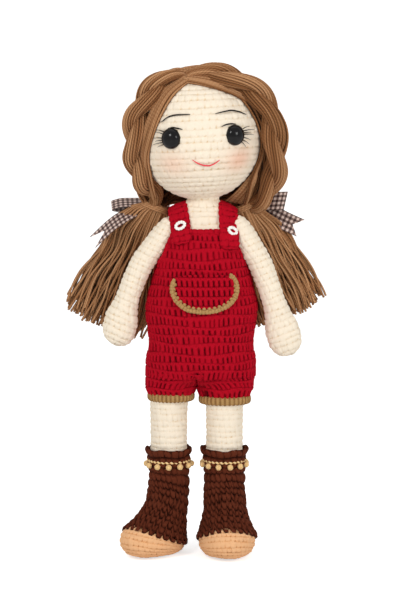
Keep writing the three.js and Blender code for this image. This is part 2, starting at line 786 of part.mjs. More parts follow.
function makeTie(side) {
  const { point, along } = lockEnd(side);
  const turn = new THREE.Matrix4().makeRotationFromQuaternion(
    new THREE.Quaternion().setFromUnitVectors(vec(0, 0, 1), along),
  );
  turn.setPosition(point.clone().addScaledVector(along, -TIE_CORD * 0.6));
  const facet = Math.cos(Math.PI / LOCK_SIDES);
  const around = (LOCK_END_WIDTH / 2 + CLEARANCE) / facet + TIE_CORD / 2;
  const cord = band(around, TIE_CORD / 2, LOCK_SIDES, THREAD_SIDES).applyMatrix4(turn);
  piece("hair_tie_" + side.tag, solidOf(cord), "hair_yarn", headParts);
}

// The pigtail hangs on a round top just below the tie, in the doll's own frame.
function pigtailPivot(side) {
  const { point, along } = lockEnd(side);
  const place = point.addScaledVector(along, PIGTAIL_BALL_DIAMETER / 2 + SWING_CLEARANCE);
  doll.updateMatrixWorld(true);
  return place.applyMatrix4(headParts.matrixWorld);
}

function makePigtail(side) {
  const pivot = pigtailPivot(side);
  const parts = hung("tie_" + side.tag, pivot);
  const tilt = rad(PIGTAIL_TILT_DEG);
  const along = vec(side.sign * Math.sin(tilt), 0, -Math.cos(tilt));
  const out = vec(side.sign * Math.cos(tilt), 0, Math.sin(tilt));
  const deep = PIGTAIL_DEPTH / 2;
  const long = side.pigtailLength;
  // Share of the length, reach to the outside and to the inside, share of the depth
  const sections = [
    [0, 5.5, 5.5, 0.6],
    [0.1, 9, 6, 0.75],
    [0.28, 21, 6, 0.95],
    [0.6, 27, 12, 1],
    [0.86, 30, 22, 1],
    [0.96, 25, 23, 0.85],
    [1, 20, 20, 0.6],
  ];
  const back = (share) => PIGTAIL_SET_BACK * Math.min(1, share / 0.3);
  const rings = sections.map(([share, outer, inner, depthShare]) => {
    const centre = pivot.clone().addScaledVector(along, share * long);
    centre.addScaledVector(out, (outer - inner) / 2);
    centre.y += back(share);
    return {
      c: centre,
      u: out.clone().multiplyScalar((outer + inner) / 2),
      v: vec(0, deep * depthShare, 0),
    };
  });
  const fan = join(ball(pivot, PIGTAIL_BALL_DIAMETER / 2), loft(rings, LIMB_SIDES));
  piece("pigtail_" + side.tag, fan, "hair_yarn", parts);
  makeBow(side, pivot, parts);
}

// A ribbon through stations, each with a middle and a half-width vector.
function ribbon(stations) {
  const points = [];
  for (const [i, { at, across }] of stations.entries()) {
    const before = stations[Math.max(0, i - 1)].at;
    const after = stations[Math.min(stations.length - 1, i + 1)].at;
    const flat = after.clone().sub(before).cross(across).normalize();
    flat.multiplyScalar(RIBBON_THICKNESS / 2);
    for (const [a, f] of [[1, 1], [-1, 1], [-1, -1], [1, -1]]) {
      const point = at.clone().addScaledVector(across, a);
      points.push(point.addScaledVector(flat, f));
    }
  }
  return skin(points, stations[0].at, stations.at(-1).at, 4);
}

// The bow is tied behind the top of the pigtail: a loop and a tail stand out at the side, and the
// second loop and tail lie at the back.
function makeBow(side, pivot, parts) {
  const half = RIBBON_WIDTH / 2;
  const knotBehind = PIGTAIL_BALL_DIAMETER / 2 + KNOT_DIAMETER / 2 + CLEARANCE;
  const knotAt = pivot.clone().add(vec(0, knotBehind, 2));
  const knot = new THREE.SphereGeometry(KNOT_DIAMETER / 2, 8, 6);
  knot.translate(knotAt.x, knotAt.y, knotAt.z);
  const spot = (sideways, y, z) => knotAt.clone().add(vec(side.sign * sideways, y, z));
  const station = (at, across, share = 1) => ({ at, across: across.clone().multiplyScalar(share) });
  // A loop runs out along a middle line and back, open by a few millimetres.
  const loopOf = (bend, tip, across, open) =>
    ribbon([
      station(knotAt, across, 0.4),
      station(bend.clone().add(open), across),
      station(tip.clone().addScaledVector(open, 0.7), across),
      station(tip.clone().addScaledVector(open, -0.7), across),
      station(bend.clone().sub(open), across),
      station(knotAt.clone().addScaledVector(open, -0.5), across, 0.4),
    ]);
  const deep = vec(0, half, 0);
  const tall = vec(0, 0, half);
  const outLoop = loopOf(
    spot(0.5 * LOOP_LENGTH, -1, 4),
    spot(LOOP_LENGTH, -8, 4),
    deep,
    vec(0, 0, LOOP_OPENING / 2),
  );
  const outTail = ribbon([
    station(knotAt, deep, 0.4),
    station(spot(0.36 * TAIL_LENGTH, 0, -1), deep),
    station(spot(0.72 * TAIL_LENGTH, -6, -5), vec(0, half * 0.8, half * 0.6)),
    station(spot(TAIL_LENGTH, -11, -18), vec(side.sign * half * 0.5, half * 0.5, half * 0.7)),
  ]);
  const backLoop = loopOf(
    spot(-3, 0.45 * LOOP_LENGTH, 1),
    spot(-6, 0.75 * LOOP_LENGTH, 0),
    tall,
    vec((side.sign * LOOP_OPENING) / 2, 0, 0),
  );
  const backTail = ribbon([
    station(knotAt, vec(side.sign * half, 0, 0), 0.4),
    station(spot(3, 7, -5), vec(side.sign * half, 0, 0)),
    station(spot(7, 13, -16), vec(side.sign * half, 0, 0)),
    station(spot(12, 14, -0.8 * TAIL_LENGTH), vec(side.sign * half, 0, 0)),
  ]);
  const bow = join(solidOf(knot), outLoop, outTail, backLoop, backTail);
  piece("bow_" + side.tag, bow, "gingham_ribbon", parts);
}

// Arms

// The room that an arm leaves round the body and the overalls.
const armRoom = join(
  torso(GARMENT_OUTSIDE + SWING_CLEARANCE).intersect(garment(SWING_CLEARANCE)),
  torso(SWING_CLEARANCE).intersect(below(HIP_HEIGHT + CHEST_RISE)),
);

function makeArm(side) {
  const face = torsoShift(SHOULDER_RISE) + side.sign * (SHOULDER_FACE + SWING_CLEARANCE);
  const shoulder = vec(face, -ARM_FORWARD, NECK_PIVOT.z - SHOULDER_JOINT_DROP);
  const parts = hung("shoulder_" + side.tag, shoulder);
  const arm = ARM_DIAMETER / 2;
  const hand = HAND_WIDTH / 2;
  const palm = HAND_DEPTH / 2;
  // Distance along the arm from the shoulder, half-width and half-depth
  const sections = [
    [-8.5, 4.8, 4.8],
    [-4.5, arm, arm],
    [3, arm + 0.9, arm + 0.9],
    [0.3 * ARM_LENGTH, arm, arm],
    [0.58 * ARM_LENGTH, arm - 0.3, arm - 0.3],
    [0.7 * ARM_LENGTH, arm + 0.8, arm],
    [0.8 * ARM_LENGTH, hand, palm],
    [0.88 * ARM_LENGTH, hand * 0.97, palm * 0.97],
    [0.95 * ARM_LENGTH, hand * 0.8, palm * 0.8],
    [ARM_LENGTH, hand * 0.45, palm * 0.45],
  ];
  const turn = new THREE.Matrix4().makeRotationY(-side.sign * rad(side.armTiltDeg));
  turn.setPosition(shoulder.clone().add(vec(side.sign * 4.5, 0, 0)));
  const form = (grow) => {
    const rings = sections.map(([t, wide, deep], i) => {
      const end = i === 0 ? -grow : i === sections.length - 1 ? grow : 0;
      return ring(-t - end, Math.max(0.5, wide + grow), Math.max(0.5, deep + grow));
    });
    return loft(placed(rings, turn), LIMB_SIDES);
  };
  const outward =
    side.sign > 0
      ? block(vec(face, -FAR, 0), vec(FAR, FAR, FAR))
      : block(vec(-FAR, -FAR, 0), vec(face, FAR, FAR));
  const shaped = (grow) => cut(form(grow).intersect(outward), armRoom);
  piece("arm_cover_" + side.tag, cut(shaped(0), form(-SKIN_THICKNESS)), "skin_yarn", parts);
  const filling = shaped(FILLING);
  piece("arm_stuffing_" + side.tag, filling, "fibre_stuffing", parts);
}

// Legs, shorts and boots

// The shorts leg hangs from the hip barrel and widens to its cuff.
function shortsForm(side, grow, bottom) {
  const x = CROTCH_X + (side.sign * LEG_SPACING) / 2;
  const wide = SHORTS_WIDTH / 2 + grow;
  const deep = SHORTS_DEPTH / 2 + grow;
  const rings = [
    ring(bottom, wide, deep, x),
    ring(HIP_HEIGHT - 0.7 * HIP_BALL_RADIUS, wide, deep, x),
    ring(HIP_HEIGHT - 0.4 * HIP_BALL_RADIUS, SHORTS_THIGH_SHARE * wide, deep + 0.6, x),
    ring(HIP_HEIGHT, SHORTS_HIP_SHARE * wide, deep + 1, x),
  ];
  return join(loft(rings, LIMB_SIDES), hipBarrel(side, grow));
}

// The leg fills the top of the shorts and runs down to the boot.
function legForm(side, grow, bottom) {
  const x = CROTCH_X + (side.sign * LEG_SPACING) / 2;
  const inShorts = -GARMENT_THICKNESS - CLEARANCE;
  const leg = LEG_DIAMETER / 2 + grow;
  const wide = SHORTS_WIDTH / 2 + inShorts + grow;
  const deep = SHORTS_DEPTH / 2 + inShorts + grow;
  const rings = [
    ring(bottom, leg, leg, x),
    ring(BOOT_HEIGHT + 0.6 * (CUFF_BOTTOM - BOOT_HEIGHT), leg, leg, x),
    ring(CUFF_BOTTOM + CUFF_HEIGHT, leg + 0.6, leg + 0.6, x),
    ring(HIP_HEIGHT - 0.4 * HIP_BALL_RADIUS, SHORTS_THIGH_SHARE * wide, deep, x),
    ring(HIP_HEIGHT, SHORTS_HIP_SHARE * wide, deep, x),
  ];
  return join(loft(rings, LIMB_SIDES), hipBarrel(side, inShorts + grow));
}

// The foot of a boot in its own frame, toe towards -Y, flat below.
function footForm(grow) {
  const toe = FOOT_LENGTH - FOOT_HEEL;
  const half = FOOT_WIDTH / 2;
  // Place along the foot from the ankle, half-width, height
  const sections = [
    [-FOOT_HEEL, 0.3 * half, 0.42 * INSTEP_HEIGHT],
    [-0.7 * FOOT_HEEL, 0.62 * half, 0.7 * INSTEP_HEIGHT],
    [-0.3 * FOOT_HEEL, 0.78 * half, 0.92 * INSTEP_HEIGHT],
    [0.12 * toe, 0.87 * half, INSTEP_HEIGHT],
    [0.45 * toe, half, 0.3 * INSTEP_HEIGHT + 0.8 * TOE_HEIGHT],
    [0.72 * toe, 0.95 * half, TOE_HEIGHT],
    [0.9 * toe, 0.7 * half, 0.76 * TOE_HEIGHT],
    [toe, 0.3 * half, 0.5 * TOE_HEIGHT],
  ];
  const rings = sections.map(([along, wide, high], i) => {
    const end = i === 0 ? -grow : i === sections.length - 1 ? grow : 0;
    return {
      c: vec(0, -along - end, (high - SOLE_FLAT_CUT) / 2),
      u: vec(Math.max(0.5, wide + grow), 0, 0),
      v: vec(0, 0, (high + SOLE_FLAT_CUT) / 2 + grow),
    };
  });
  return loft(rings, LIMB_SIDES).intersect(above(-grow));
}

function shaftForm(grow, top) {
  const shaft = SHAFT_DIAMETER / 2 + grow;
  return loft(
    [
      ring(0.3 * INSTEP_HEIGHT, 0.9 * shaft, 0.9 * shaft),
      ring(0.7 * INSTEP_HEIGHT, 0.98 * shaft, 0.98 * shaft),
      ring(0.7 * BOOT_HEIGHT, 0.95 * shaft, 0.95 * shaft),
      ring(BOOT_HEIGHT - BRAID_DROP - BRAID_HEIGHT - POMPOM_DIAMETER, shaft, shaft),
      ring(top, shaft, shaft),
    ],
    LIMB_SIDES,
  );
}

// The flared ring at the top of the boot.
function rimForm() {
  const inner = (LEG_DIAMETER / 2 + CLEARANCE) / Math.cos(Math.PI / LIMB_SIDES);
  const outer = RIM_DIAMETER / 2;
  const z = BOOT_HEIGHT + CLEARANCE;
  const profile = [
    [inner, z],
    [SHAFT_DIAMETER / 2 + 0.6, z],
    [outer, z + 0.85 * RIM_HEIGHT],
    [outer - 0.8, z + RIM_HEIGHT],
    [outer - 2, z + 0.92 * RIM_HEIGHT],
    [inner, z + 0.35 * RIM_HEIGHT],
    [inner, z],
  ].map(([r, h]) => new THREE.Vector2(r, h));
  return solidOf(new THREE.LatheGeometry(profile, LIMB_SIDES).rotateX(Math.PI / 2));
}

// The braid round the shaft, with its pom-poms along the lower edge.
function braidForm() {
  const inner = (SHAFT_DIAMETER / 2 + CLEARANCE) / Math.cos(Math.PI / POMPOM_COUNT);
  const outer = inner + BRAID_THICKNESS;
  const z = BOOT_HEIGHT - BRAID_DROP;
  const profile = [
    [inner, z],
    [inner, z - BRAID_HEIGHT],
    [outer, z - BRAID_HEIGHT],
    [outer, z],
    [inner, z],
  ].map(([r, h]) => new THREE.Vector2(r, h));
  const hoop = solidOf(new THREE.LatheGeometry(profile, POMPOM_COUNT).rotateX(Math.PI / 2));
  const drop = z - BRAID_HEIGHT - 0.2 * POMPOM_DIAMETER;
  const pompoms = [];
  for (let i = 0; i < POMPOM_COUNT; i++) {
    const angle = (2 * Math.PI * i) / POMPOM_COUNT;
    const away = inner + POMPOM_DIAMETER / 2;
    const puff = new THREE.IcosahedronGeometry(POMPOM_DIAMETER / 2);
    pompoms.push(
      solidOf(puff.translate(away * Math.cos(angle), away * Math.sin(angle), drop)),
    );
  }
  return join(hoop, ...pompoms);
}

function makeLeg(side) {
  const hip = vec(CROTCH_X + (side.sign * LEG_SPACING) / 2, 0, HIP_HEIGHT);
  const parts = hung("hip_" + side.tag, hip);
  const tag = "_" + side.tag;
  const legBottom = BOOT_HEIGHT + CLEARANCE;
  const skinGrow = -SKIN_THICKNESS;

  const shortsBottom = CUFF_BOTTOM + CUFF_HEIGHT + CLEARANCE;
  const shorts = cut(
    shortsForm(side, 0, shortsBottom),
    shortsForm(side, -GARMENT_THICKNESS, CUFF_BOTTOM),
  );
  piece("shorts_leg" + tag, shorts, "red_yarn", parts);

  const cuffTop = CUFF_BOTTOM + CUFF_HEIGHT;
  const cuffRing = (grow, low, high) =>
    loft(
      [
        ring(low, SHORTS_WIDTH / 2 + grow, SHORTS_DEPTH / 2 + grow, hip.x),
        ring(high, SHORTS_WIDTH / 2 + grow, SHORTS_DEPTH / 2 + grow, hip.x),
      ],
      LIMB_SIDES,
    );
  const proud = (CUFF_THICKNESS - GARMENT_THICKNESS) / 2;
  const cuff = cut(
    cuffRing(proud, CUFF_BOTTOM, cuffTop),
    cuffRing(proud - CUFF_THICKNESS, CUFF_BOTTOM - 1, cuffTop + 1),
  );
  piece("shorts_cuff" + tag, cuff, "tan_yarn", parts);

  const leg = cut(legForm(side, 0, legBottom), legForm(side, skinGrow, legBottom - 5));
  piece("leg_cover" + tag, leg, "skin_yarn", parts);

  const boot = new THREE.Group();
  boot.position.set(hip.x, 0, 0);
  boot.rotation.z = side.sign * rad(side.toeOutDeg);
  parts.add(boot);
  const slope = Math.atan2(SOLE_TOE_HEIGHT - SOLE_HEEL_HEIGHT, FOOT_LENGTH);
  const level = SOLE_HEEL_HEIGHT + FOOT_HEEL * Math.tan(slope);
  const tilt = new THREE.Matrix4().makeRotationX(-slope);
  const soleSide = (lift) =>
    block(vec(-FAR, -FAR, -FAR), vec(FAR, FAR, 0), tilt.clone().setPosition(0, 0, level + lift));
  const footInside = footForm(skinGrow);
  const sole = cut(footForm(0).intersect(soleSide(0)), footInside);
  piece("boot_sole" + tag, sole, "sole_yarn", boot);
  const outer = join(shaftForm(0, BOOT_HEIGHT), footForm(0));
  const inner = join(shaftForm(skinGrow, BOOT_HEIGHT + 5), footInside);
  piece("boot_upper" + tag, cut(outer, inner, soleSide(CLEARANCE)), "boot_yarn", boot);
  piece("boot_rim" + tag, rimForm(), "boot_yarn", boot);
  piece("boot_braid" + tag, braidForm(), "gold_trim", boot);

  const turned = new THREE.Matrix4().makeRotationZ(boot.rotation.z).setPosition(hip.x, 0, 0);
  const bootFill = join(shaftForm(FILLING, BOOT_HEIGHT), footForm(FILLING));
  const inPlace = solidOf(geometryOf(bootFill).applyMatrix4(turned));
  const filling = join(legForm(side, FILLING, BOOT_HEIGHT - 5), inPlace);
  piece("leg_stuffing" + tag, filling, "fibre_stuffing", parts);
}

makeTorso();
makeHead();
makeHair();
for (const side of [LEFT, RIGHT]) {
  makePigtail(side);
  makeArm(side);
  makeLeg(side);
}

// The origin is the middle of the doll's box, on the floor.
const box = new THREE.Box3().setFromObject(doll, true);
doll.position.set(-(box.min.x + box.max.x) / 2, -(box.min.y + box.max.y) / 2, -box.min.z);

export default doll;
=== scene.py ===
"""Dress a packed crochet doll: worked yarn covers, yarn hair, overalls, boots and ribbon bows.

Sizes are in millimetres in the doll's own frame, as in the part's source: the doll's axis is x = y = 0,
its soles are at z = 0, it faces -y and +x is its own left. Each mesh is put into metres as it is made.
"""

import json
import logging
import math
from dataclasses import dataclass, field
from enum import Enum
from typing import TypeVar

import bpy
import numpy as np
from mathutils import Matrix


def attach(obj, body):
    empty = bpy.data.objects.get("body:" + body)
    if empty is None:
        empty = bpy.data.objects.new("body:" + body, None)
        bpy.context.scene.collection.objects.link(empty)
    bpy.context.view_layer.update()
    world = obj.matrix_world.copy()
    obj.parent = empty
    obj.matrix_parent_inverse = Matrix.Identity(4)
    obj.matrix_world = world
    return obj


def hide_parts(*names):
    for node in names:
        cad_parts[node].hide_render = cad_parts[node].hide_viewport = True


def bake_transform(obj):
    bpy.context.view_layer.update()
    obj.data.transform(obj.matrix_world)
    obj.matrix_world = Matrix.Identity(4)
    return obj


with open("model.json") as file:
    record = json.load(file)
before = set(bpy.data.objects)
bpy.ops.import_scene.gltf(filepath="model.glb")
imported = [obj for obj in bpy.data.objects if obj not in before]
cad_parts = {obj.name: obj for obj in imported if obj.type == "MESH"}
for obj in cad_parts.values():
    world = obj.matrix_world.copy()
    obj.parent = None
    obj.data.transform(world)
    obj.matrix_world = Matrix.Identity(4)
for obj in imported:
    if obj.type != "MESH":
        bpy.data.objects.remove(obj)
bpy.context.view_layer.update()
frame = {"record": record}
LOG = logging.getLogger("doll")
Array = np.ndarray
Pair = tuple[float, float]
Triple = tuple[float, float, float]
Colour = tuple[float, float, float, float]
Table = tuple[tuple[float, ...], ...]
Tree = bpy.types.NodeTree
Choice = TypeVar("Choice")
RNG_SEED = 7
MM = 0.001
NECK_HEIGHT = 236.0
HIP_HEIGHT = 118.0
FRONT = np.array([0.0, -1.0, 0.0])
# Keeps the level part of a direction
LEVEL = np.array([1, 1, 0])
# Rounds of stitches start and end at the back
SEAM = np.pi / 2
# Bands to a unit in a Wave texture of scale 1
WAVE_BANDS = 3.2
WHITE_LIGHT = (1, 1, 1, 1)
JOINTS = {j["name"]: j for j in frame["record"]["behaviour"]["joints"]}
# The doll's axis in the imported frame, from the neck joint, in metres
AXIS = np.array([*JOINTS["head_tilt"]["pos_m"][:2], 0.0])


class Side(Enum):
    """The doll's own left and right: the tag in node names and the sign of x."""

    LEFT = ("l", 1.0)
    RIGHT = ("r", -1.0)

    @property
    def tag(self) -> str:
        """The letter that ends this side's node names."""
        return self.value[0]

    @property
    def sign(self) -> float:
        """The sign of x on this side."""
        return self.value[1]

    @property
    def mirror(self) -> Array:
        """What turns a place on the left into one on this side."""
        return np.array([self.sign, 1, 1])

    def pick(self, left: Choice, right: Choice) -> Choice:
        """Choose between the left side's value and the right side's."""
        return left if self is Side.LEFT else right


def linear(colour: str) -> Colour:
    """Turn an sRGB hex colour into linear light.

    Args:
        colour: six hex digits.

    Returns:
        Red, green, blue and alpha, linear.
    """
    share = np.array([int(colour[i:i + 2], 16) for i in (0, 2, 4)]) / 255
    light = np.where(share <= 0.04045, share / 12.92, ((share + 0.055) / 1.055) ** 2.4)
    return (*light.tolist(), 1.0)


def plug(tree: Tree, target: bpy.types.Node, inputs: dict) -> None:
    """Give a node's sockets their constants and links.

    Args:
        tree: the material's or world's nodes.
        target: the node.
        inputs: socket name or number to a constant or to another node's output.
    """
    for key, value in inputs.items():
        if isinstance(value, bpy.types.NodeSocket):
            tree.links.new(value, target.inputs[key])
        else:
            target.inputs[key].default_value = value


def node(tree: Tree, kind: str, inputs: dict, stops: tuple[tuple[float, str], ...] = (),
         **settings: object) -> bpy.types.Node:
    """Add a shader node with its settings, colour stops, constants and links.

    Args:
        tree: the material's or world's nodes.
        kind: the node's type name, after the words that all of them start with.
        inputs: socket name or number to a constant or to another node's output.
        stops: two or more positions from 0 to 1 with sRGB hex colours, in order, where the node has a ramp.
        settings: attributes of the node.

    Returns:
        The new node.
    """
    made = tree.nodes.new("ShaderNode" + kind)
    for name, value in settings.items():
        setattr(made, name, value)
    for _ in stops[2:]:
        made.color_ramp.elements.new(0.5)
    for number, (place, colour) in enumerate(stops):
        stop = made.color_ramp.elements[number]
        stop.position, stop.color = place, linear(colour)
    plug(tree, made, inputs)
    return made


@dataclass(frozen=True)
class Finish:
    """What a piece is made of: a named material on one Principled shader, and the record's slot for it."""

    name: str
    slot: str

    def paint(self, tree: Tree) -> dict:
        """Add the finish's own nodes and give the shader's sockets."""
        raise NotImplementedError

    def material(self) -> bpy.types.Material:
        """Build the material, or find it where an earlier piece has it.

        Returns:
            The material.
        """
        made = bpy.data.materials.get(self.name)
        if made is None:
            made = bpy.data.materials.new(self.name)
            made.use_nodes = True
            tree = made.node_tree
            plug(tree, tree.nodes["Principled BSDF"], self.paint(tree))
        return made


@dataclass(frozen=True)
class Yarn(Finish):
    """Cotton or acrylic yarn: matt, fuzzy plies, with painted shade in the holes between stitches and the gaps
    between strands.

    deep, mid and light colour the stitches from the holes to the crowns, the deep colour being painted shade in the
    holes and the gaps between strands; ply is the number of ply lines in a stitch, fuzz the height of the fibre bump
    in millimetres, blush an extra tint over a painted area and vary how far stitches or strands differ.
    """

    deep: str
    mid: str
    light: str
    ply: float = 3.0
    fuzz: float = 0.12
    sheen: float = 0.03
    blush: str = ""
    vary: float = 0.16

    def paint(self, tree: Tree) -> dict:
        """Colour the yarn by the piece's painted shade, its tint and its stitch coordinates.

        Args:
            tree: the material's nodes.

        Returns:
            The shader's sockets.
        """
        names = ("relief_shade", "tint", "blush") if self.blush else ("relief_shade", "tint")
        shade, tint, *area = (node(tree, "Attribute", {}, attribute_name=name).outputs["Fac"] for name in names)
        place = node(tree, "TexCoord", {})
        # Ply lines run across each stitch at a slant, a few to a stitch
        turned = node(tree, "Mapping", {"Vector": place.outputs["UV"], "Rotation": (0, 0, 0.6)})
        plies = node(tree, "TexWave", {"Vector": turned.outputs[0], "Scale": self.ply / WAVE_BANDS,
                                       "Distortion": 1.2, "Detail": 2.0, "Detail Scale": 2.0}).outputs["Fac"]
        # Fibre fuzz of about half a millimetre
        fibre = node(tree, "TexNoise", {"Vector": place.outputs["Object"], "Scale": 2200.0,
                                        "Detail": 3.0}).outputs["Fac"]
        for value, share in ((plies, 0.12), (tint, self.vary), (fibre, 0.14)):
            shade = node(tree, "Math", {0: value, 1: share, 2: shade}, operation="MULTIPLY_ADD").outputs[0]
        # Painted shade: the ramp runs from the deep colour in the holes and gaps to the light colour on the crowns
        colour = node(tree, "ValToRGB", {0: shade},
                      ((0.12, self.deep), (0.62, self.mid), (1.0, self.light))).outputs[0]
        if self.blush:
            colour = node(tree, "Mix", {0: area[0], 6: colour, 7: linear(self.blush)},
                          data_type="RGBA", blend_type="MULTIPLY").outputs[2]
        height = node(tree, "Math", {0: plies, 1: 1.4, 2: fibre}, operation="MULTIPLY_ADD")
        bump = node(tree, "Bump", {"Height": height.outputs[0], "Strength": 0.5, "Distance": self.fuzz * MM})
        return {"Base Color": colour, "Normal": bump.outputs[0], "Roughness": 0.9, "Sheen Weight": self.sheen,
                "Sheen Roughness": 0.5, "Specular IOR Level": 0.08}


@dataclass(frozen=True)
class Gingham(Finish):
    """Woven check ribbon: dark where dark threads cross, half-toned where dark meets light.

    period is the check's repeat in millimetres, in which the ribbon's own map is.
    """

    name: str = "gingham_cotton_ribbon"
    slot: str = "gingham_ribbon"
    dark: str = "2c1613"
    half: str = "7a5f56"
    light: str = "dcc6ba"
    period: float = 3.2

    def paint(self, tree: Tree) -> dict:
        """Cross two sets of bands, each light for half of the period, and add their shares.

        Args:
            tree: the material's nodes.

        Returns:
            The shader's sockets.
        """
        place = node(tree, "TexCoord", {}).outputs["UV"]
        ways = node(tree, "SeparateXYZ", {0: place})
        bands = []
        for value in ways.outputs[:2]:
            for operation, number in (("MULTIPLY", 1 / self.period), ("FRACT", 0.5), ("GREATER_THAN", 0.5)):
                value = node(tree, "Math", {0: value, 1: number}, operation=operation).outputs[0]
            bands.append(value)
        both = node(tree, "Math", {0: bands[0], 1: bands[1]}, operation="ADD")
        share = node(tree, "Math", {0: both.outputs[0], 1: 0.5}, operation="MULTIPLY")
        colour = node(tree, "ValToRGB", {0: share.outputs[0]},
                      ((0.0, self.dark), (0.5, self.half), (1.0, self.light)))
        # Thread weave, drawn at 0.5 mm so that it shows
        weave = node(tree, "TexWave", {"Vector": place, "Scale": 0.62, "Distortion": 0.4})
        bump = node(tree, "Bump", {"Height": weave.outputs["Fac"], "Strength": 0.4, "Distance": 0.1 * MM})
        return {"Base Color": colour.outputs[0], "Normal": bump.outputs[0], "Roughness": 0.8, "Sheen Weight": 0.1}


@dataclass(frozen=True)
class Plastic(Finish):
    """Moulded acrylic of a safety eye: near black, polished, with faint moulding waves."""

    name: str = "polished_black_acrylic"
    slot: str = "eye_plastic"
    colour: str = "030203"
    pale: str = "0d0b0d"

    def paint(self, tree: Tree) -> dict:
        """Let slow waves of a few millimetres vary the colour and the polish.

        Args:
            tree: the material's nodes.

        Returns:
            The shader's sockets.
        """
        place = node(tree, "TexCoord", {})
        wave = node(tree, "TexNoise", {"Vector": place.outputs["Object"], "Scale": 260.0,
                                       "Detail": 1.0}).outputs["Fac"]
        colour = node(tree, "ValToRGB", {0: wave}, ((0.3, self.colour), (0.8, self.pale)))
        gloss = node(tree, "MapRange", {0: wave, 3: 0.1, 4: 0.15})
        return {"Base Color": colour.outputs[0], "Roughness": gloss.outputs[0], "IOR": 1.45,
                "Specular IOR Level": 0.22}


def shown(tree: Tree) -> bpy.types.NodeSocket:
    """Tell what the camera sees, itself, in gloss or through glass, from what only lights the doll.

    Args:
        tree: the floor's or world's nodes.

    Returns:
        1 for what is seen and 0 for the rest.
    """
    ray = node(tree, "LightPath", {})
    sight = ray.outputs["Is Camera Ray"]
    for kind in ("Is Glossy Ray", "Is Transmission Ray"):
        sight = node(tree, "Math", {0: sight, 1: ray.outputs[kind]}, operation="ADD", use_clamp=True).outputs[0]
    return sight


@dataclass(frozen=True)
class Paper(Finish):
    """White paper of the studio's floor: matt, with a faint grain, and bright where it is seen."""

    name: str = "white_paper_sweep"
    slot: str = ""
    glow: float = 0.62

    def paint(self, tree: Tree) -> dict:
        """Colour the paper by its grain and let it glow where it is seen, so that a shadow still shows.

        Args:
            tree: the material's nodes.

        Returns:
            The shader's sockets.
        """
        place = node(tree, "TexCoord", {})
        grain = node(tree, "TexNoise", {"Vector": place.outputs["Object"], "Scale": 900.0})
        colour = node(tree, "ValToRGB", {0: grain.outputs["Fac"]}, ((0.3, "f4f4f3"), (0.7, "f8f8f7")))
        seen = node(tree, "Math", {0: shown(tree), 1: self.glow}, operation="MULTIPLY")
        return {"Base Color": colour.outputs[0], "Roughness": 0.95, "Emission Color": WHITE_LIGHT,
                "Emission Strength": seen.outputs[0]}


# Each yarn's deep colour is painted shade for the holes between stitches and the gaps between strands
SKIN = Yarn("cream_cotton_yarn", "skin_yarn", "deba8a", "eedbbf", "f5e7d2", blush="f6b6a2")
RED = Yarn("red_cotton_yarn", "red_yarn", "3a0004", "8c0114", "b0081f", sheen=0.0)
TAN = Yarn("tan_cotton_yarn", "tan_yarn", "54391d", "946e41", "b28c5a")
BOOT = Yarn("chocolate_cotton_yarn", "boot_yarn", "120501", "40190c", "5e2b1a", sheen=0.0)
SOLE = Yarn("apricot_cotton_yarn", "sole_yarn", "a5653a", "dfa06a", "efba8a")
HAIR = Yarn("brown_acrylic_yarn", "hair_yarn", "3c210e", "8b5c38", "c9986d", ply=2.0, fuzz=0.2, vary=0.34)
WHITE = Yarn("white_cotton_yarn", "white_yarn", "b9b4ac", "f2efe9", "fffdf8")
GOLD = Yarn("gold_braid_yarn", "gold_trim", "9a6a34", "e4b878", "f4d49f")
BLACK = Yarn("black_sewing_thread", "black_thread", "070505", "1b1413", "2c2321")
SMILE = Yarn("red_sewing_thread", "red_thread", "b81426", "f0384a", "fa5a66")


@dataclass
class Grid:
    """A surface on rows and columns of points, with values for its material.

    points is rows x columns x 3 in millimetres; wrap joins the last column to the first; cap_first and
    cap_last close the end rows on their middle points. values holds rows x columns arrays by attribute name
    and chart rows x columns x 2 surface coordinates.
    """

    points: Array
    values: dict[str, Array] = field(default_factory=dict)
    chart: Array | None = None
    wrap: bool = True
    cap_first: bool = False
    cap_last: bool = False

    def faces(self) -> tuple[Array, Array]:
        """Index the quads between rows and columns and the triangles of the caps.

        Returns:
            Quads (n x 4) and triangles (m x 3) into the points, with cap middles after them.
        """
        rows, cols = self.points.shape[:2]
        at = np.arange(rows * cols).reshape(rows, cols)
        if self.wrap:
            at = np.concatenate([at, at[:, :1]], axis=1)
        quads = np.stack([at[:-1, :-1], at[:-1, 1:], at[1:, 1:], at[1:, :-1]], axis=-1).reshape(-1, 4)
        tris = [np.zeros((0, 3), int)]
        middle = rows * cols
        for on, near, far in ((self.cap_first, at[0, 1:], at[0, :-1]), (self.cap_last, at[-1, :-1], at[-1, 1:])):
            if on:
                tris.append(stacked(middle, near, far))
                middle += 1
        return quads, np.concatenate(tris)

    def flat(self, array: Array) -> Array:
        """Lay a rows x columns array out as one row per point, with the cap middles' means after it.

        Args:
            array: rows x columns, or x more.

        Returns:
            The rows.
        """
        wide = array.reshape(-1, *array.shape[2:])
        ends = [array[row].mean(axis=0)[None] for row, on in ((0, self.cap_first), (-1, self.cap_last)) if on]
        return np.concatenate([wide, *ends])


def plain(points: Array, relief_shade: Array | float, tint: float = 0.0, wrap: bool = True, closed: bool = False) -> Grid:
    """Make a grid without stitches, of one tint.

    Args:
        points: rows x columns x 3.
        relief_shade: its shade, which is spread over the grid.
        tint: its tint.
        wrap: whether the last column joins the first.
        closed: whether both its ends are closed.

    Returns:
        The grid.
    """
    spread = {"relief_shade": relief_shade, "tint": tint}
    values = {name: np.broadcast_to(value, points.shape[:2]) for name, value in spread.items()}
    return Grid(points, values, None, wrap, closed, closed)


def linked(name: str, data: bpy.types.ID) -> bpy.types.Object:
    """Put a mesh, lamp or camera into the scene as an object.

    Args:
        name: the object's name.
        data: what it shows.

    Returns:
        The object.
    """
    made = bpy.data.objects.new(name, data)
    bpy.context.collection.objects.link(made)
    return made


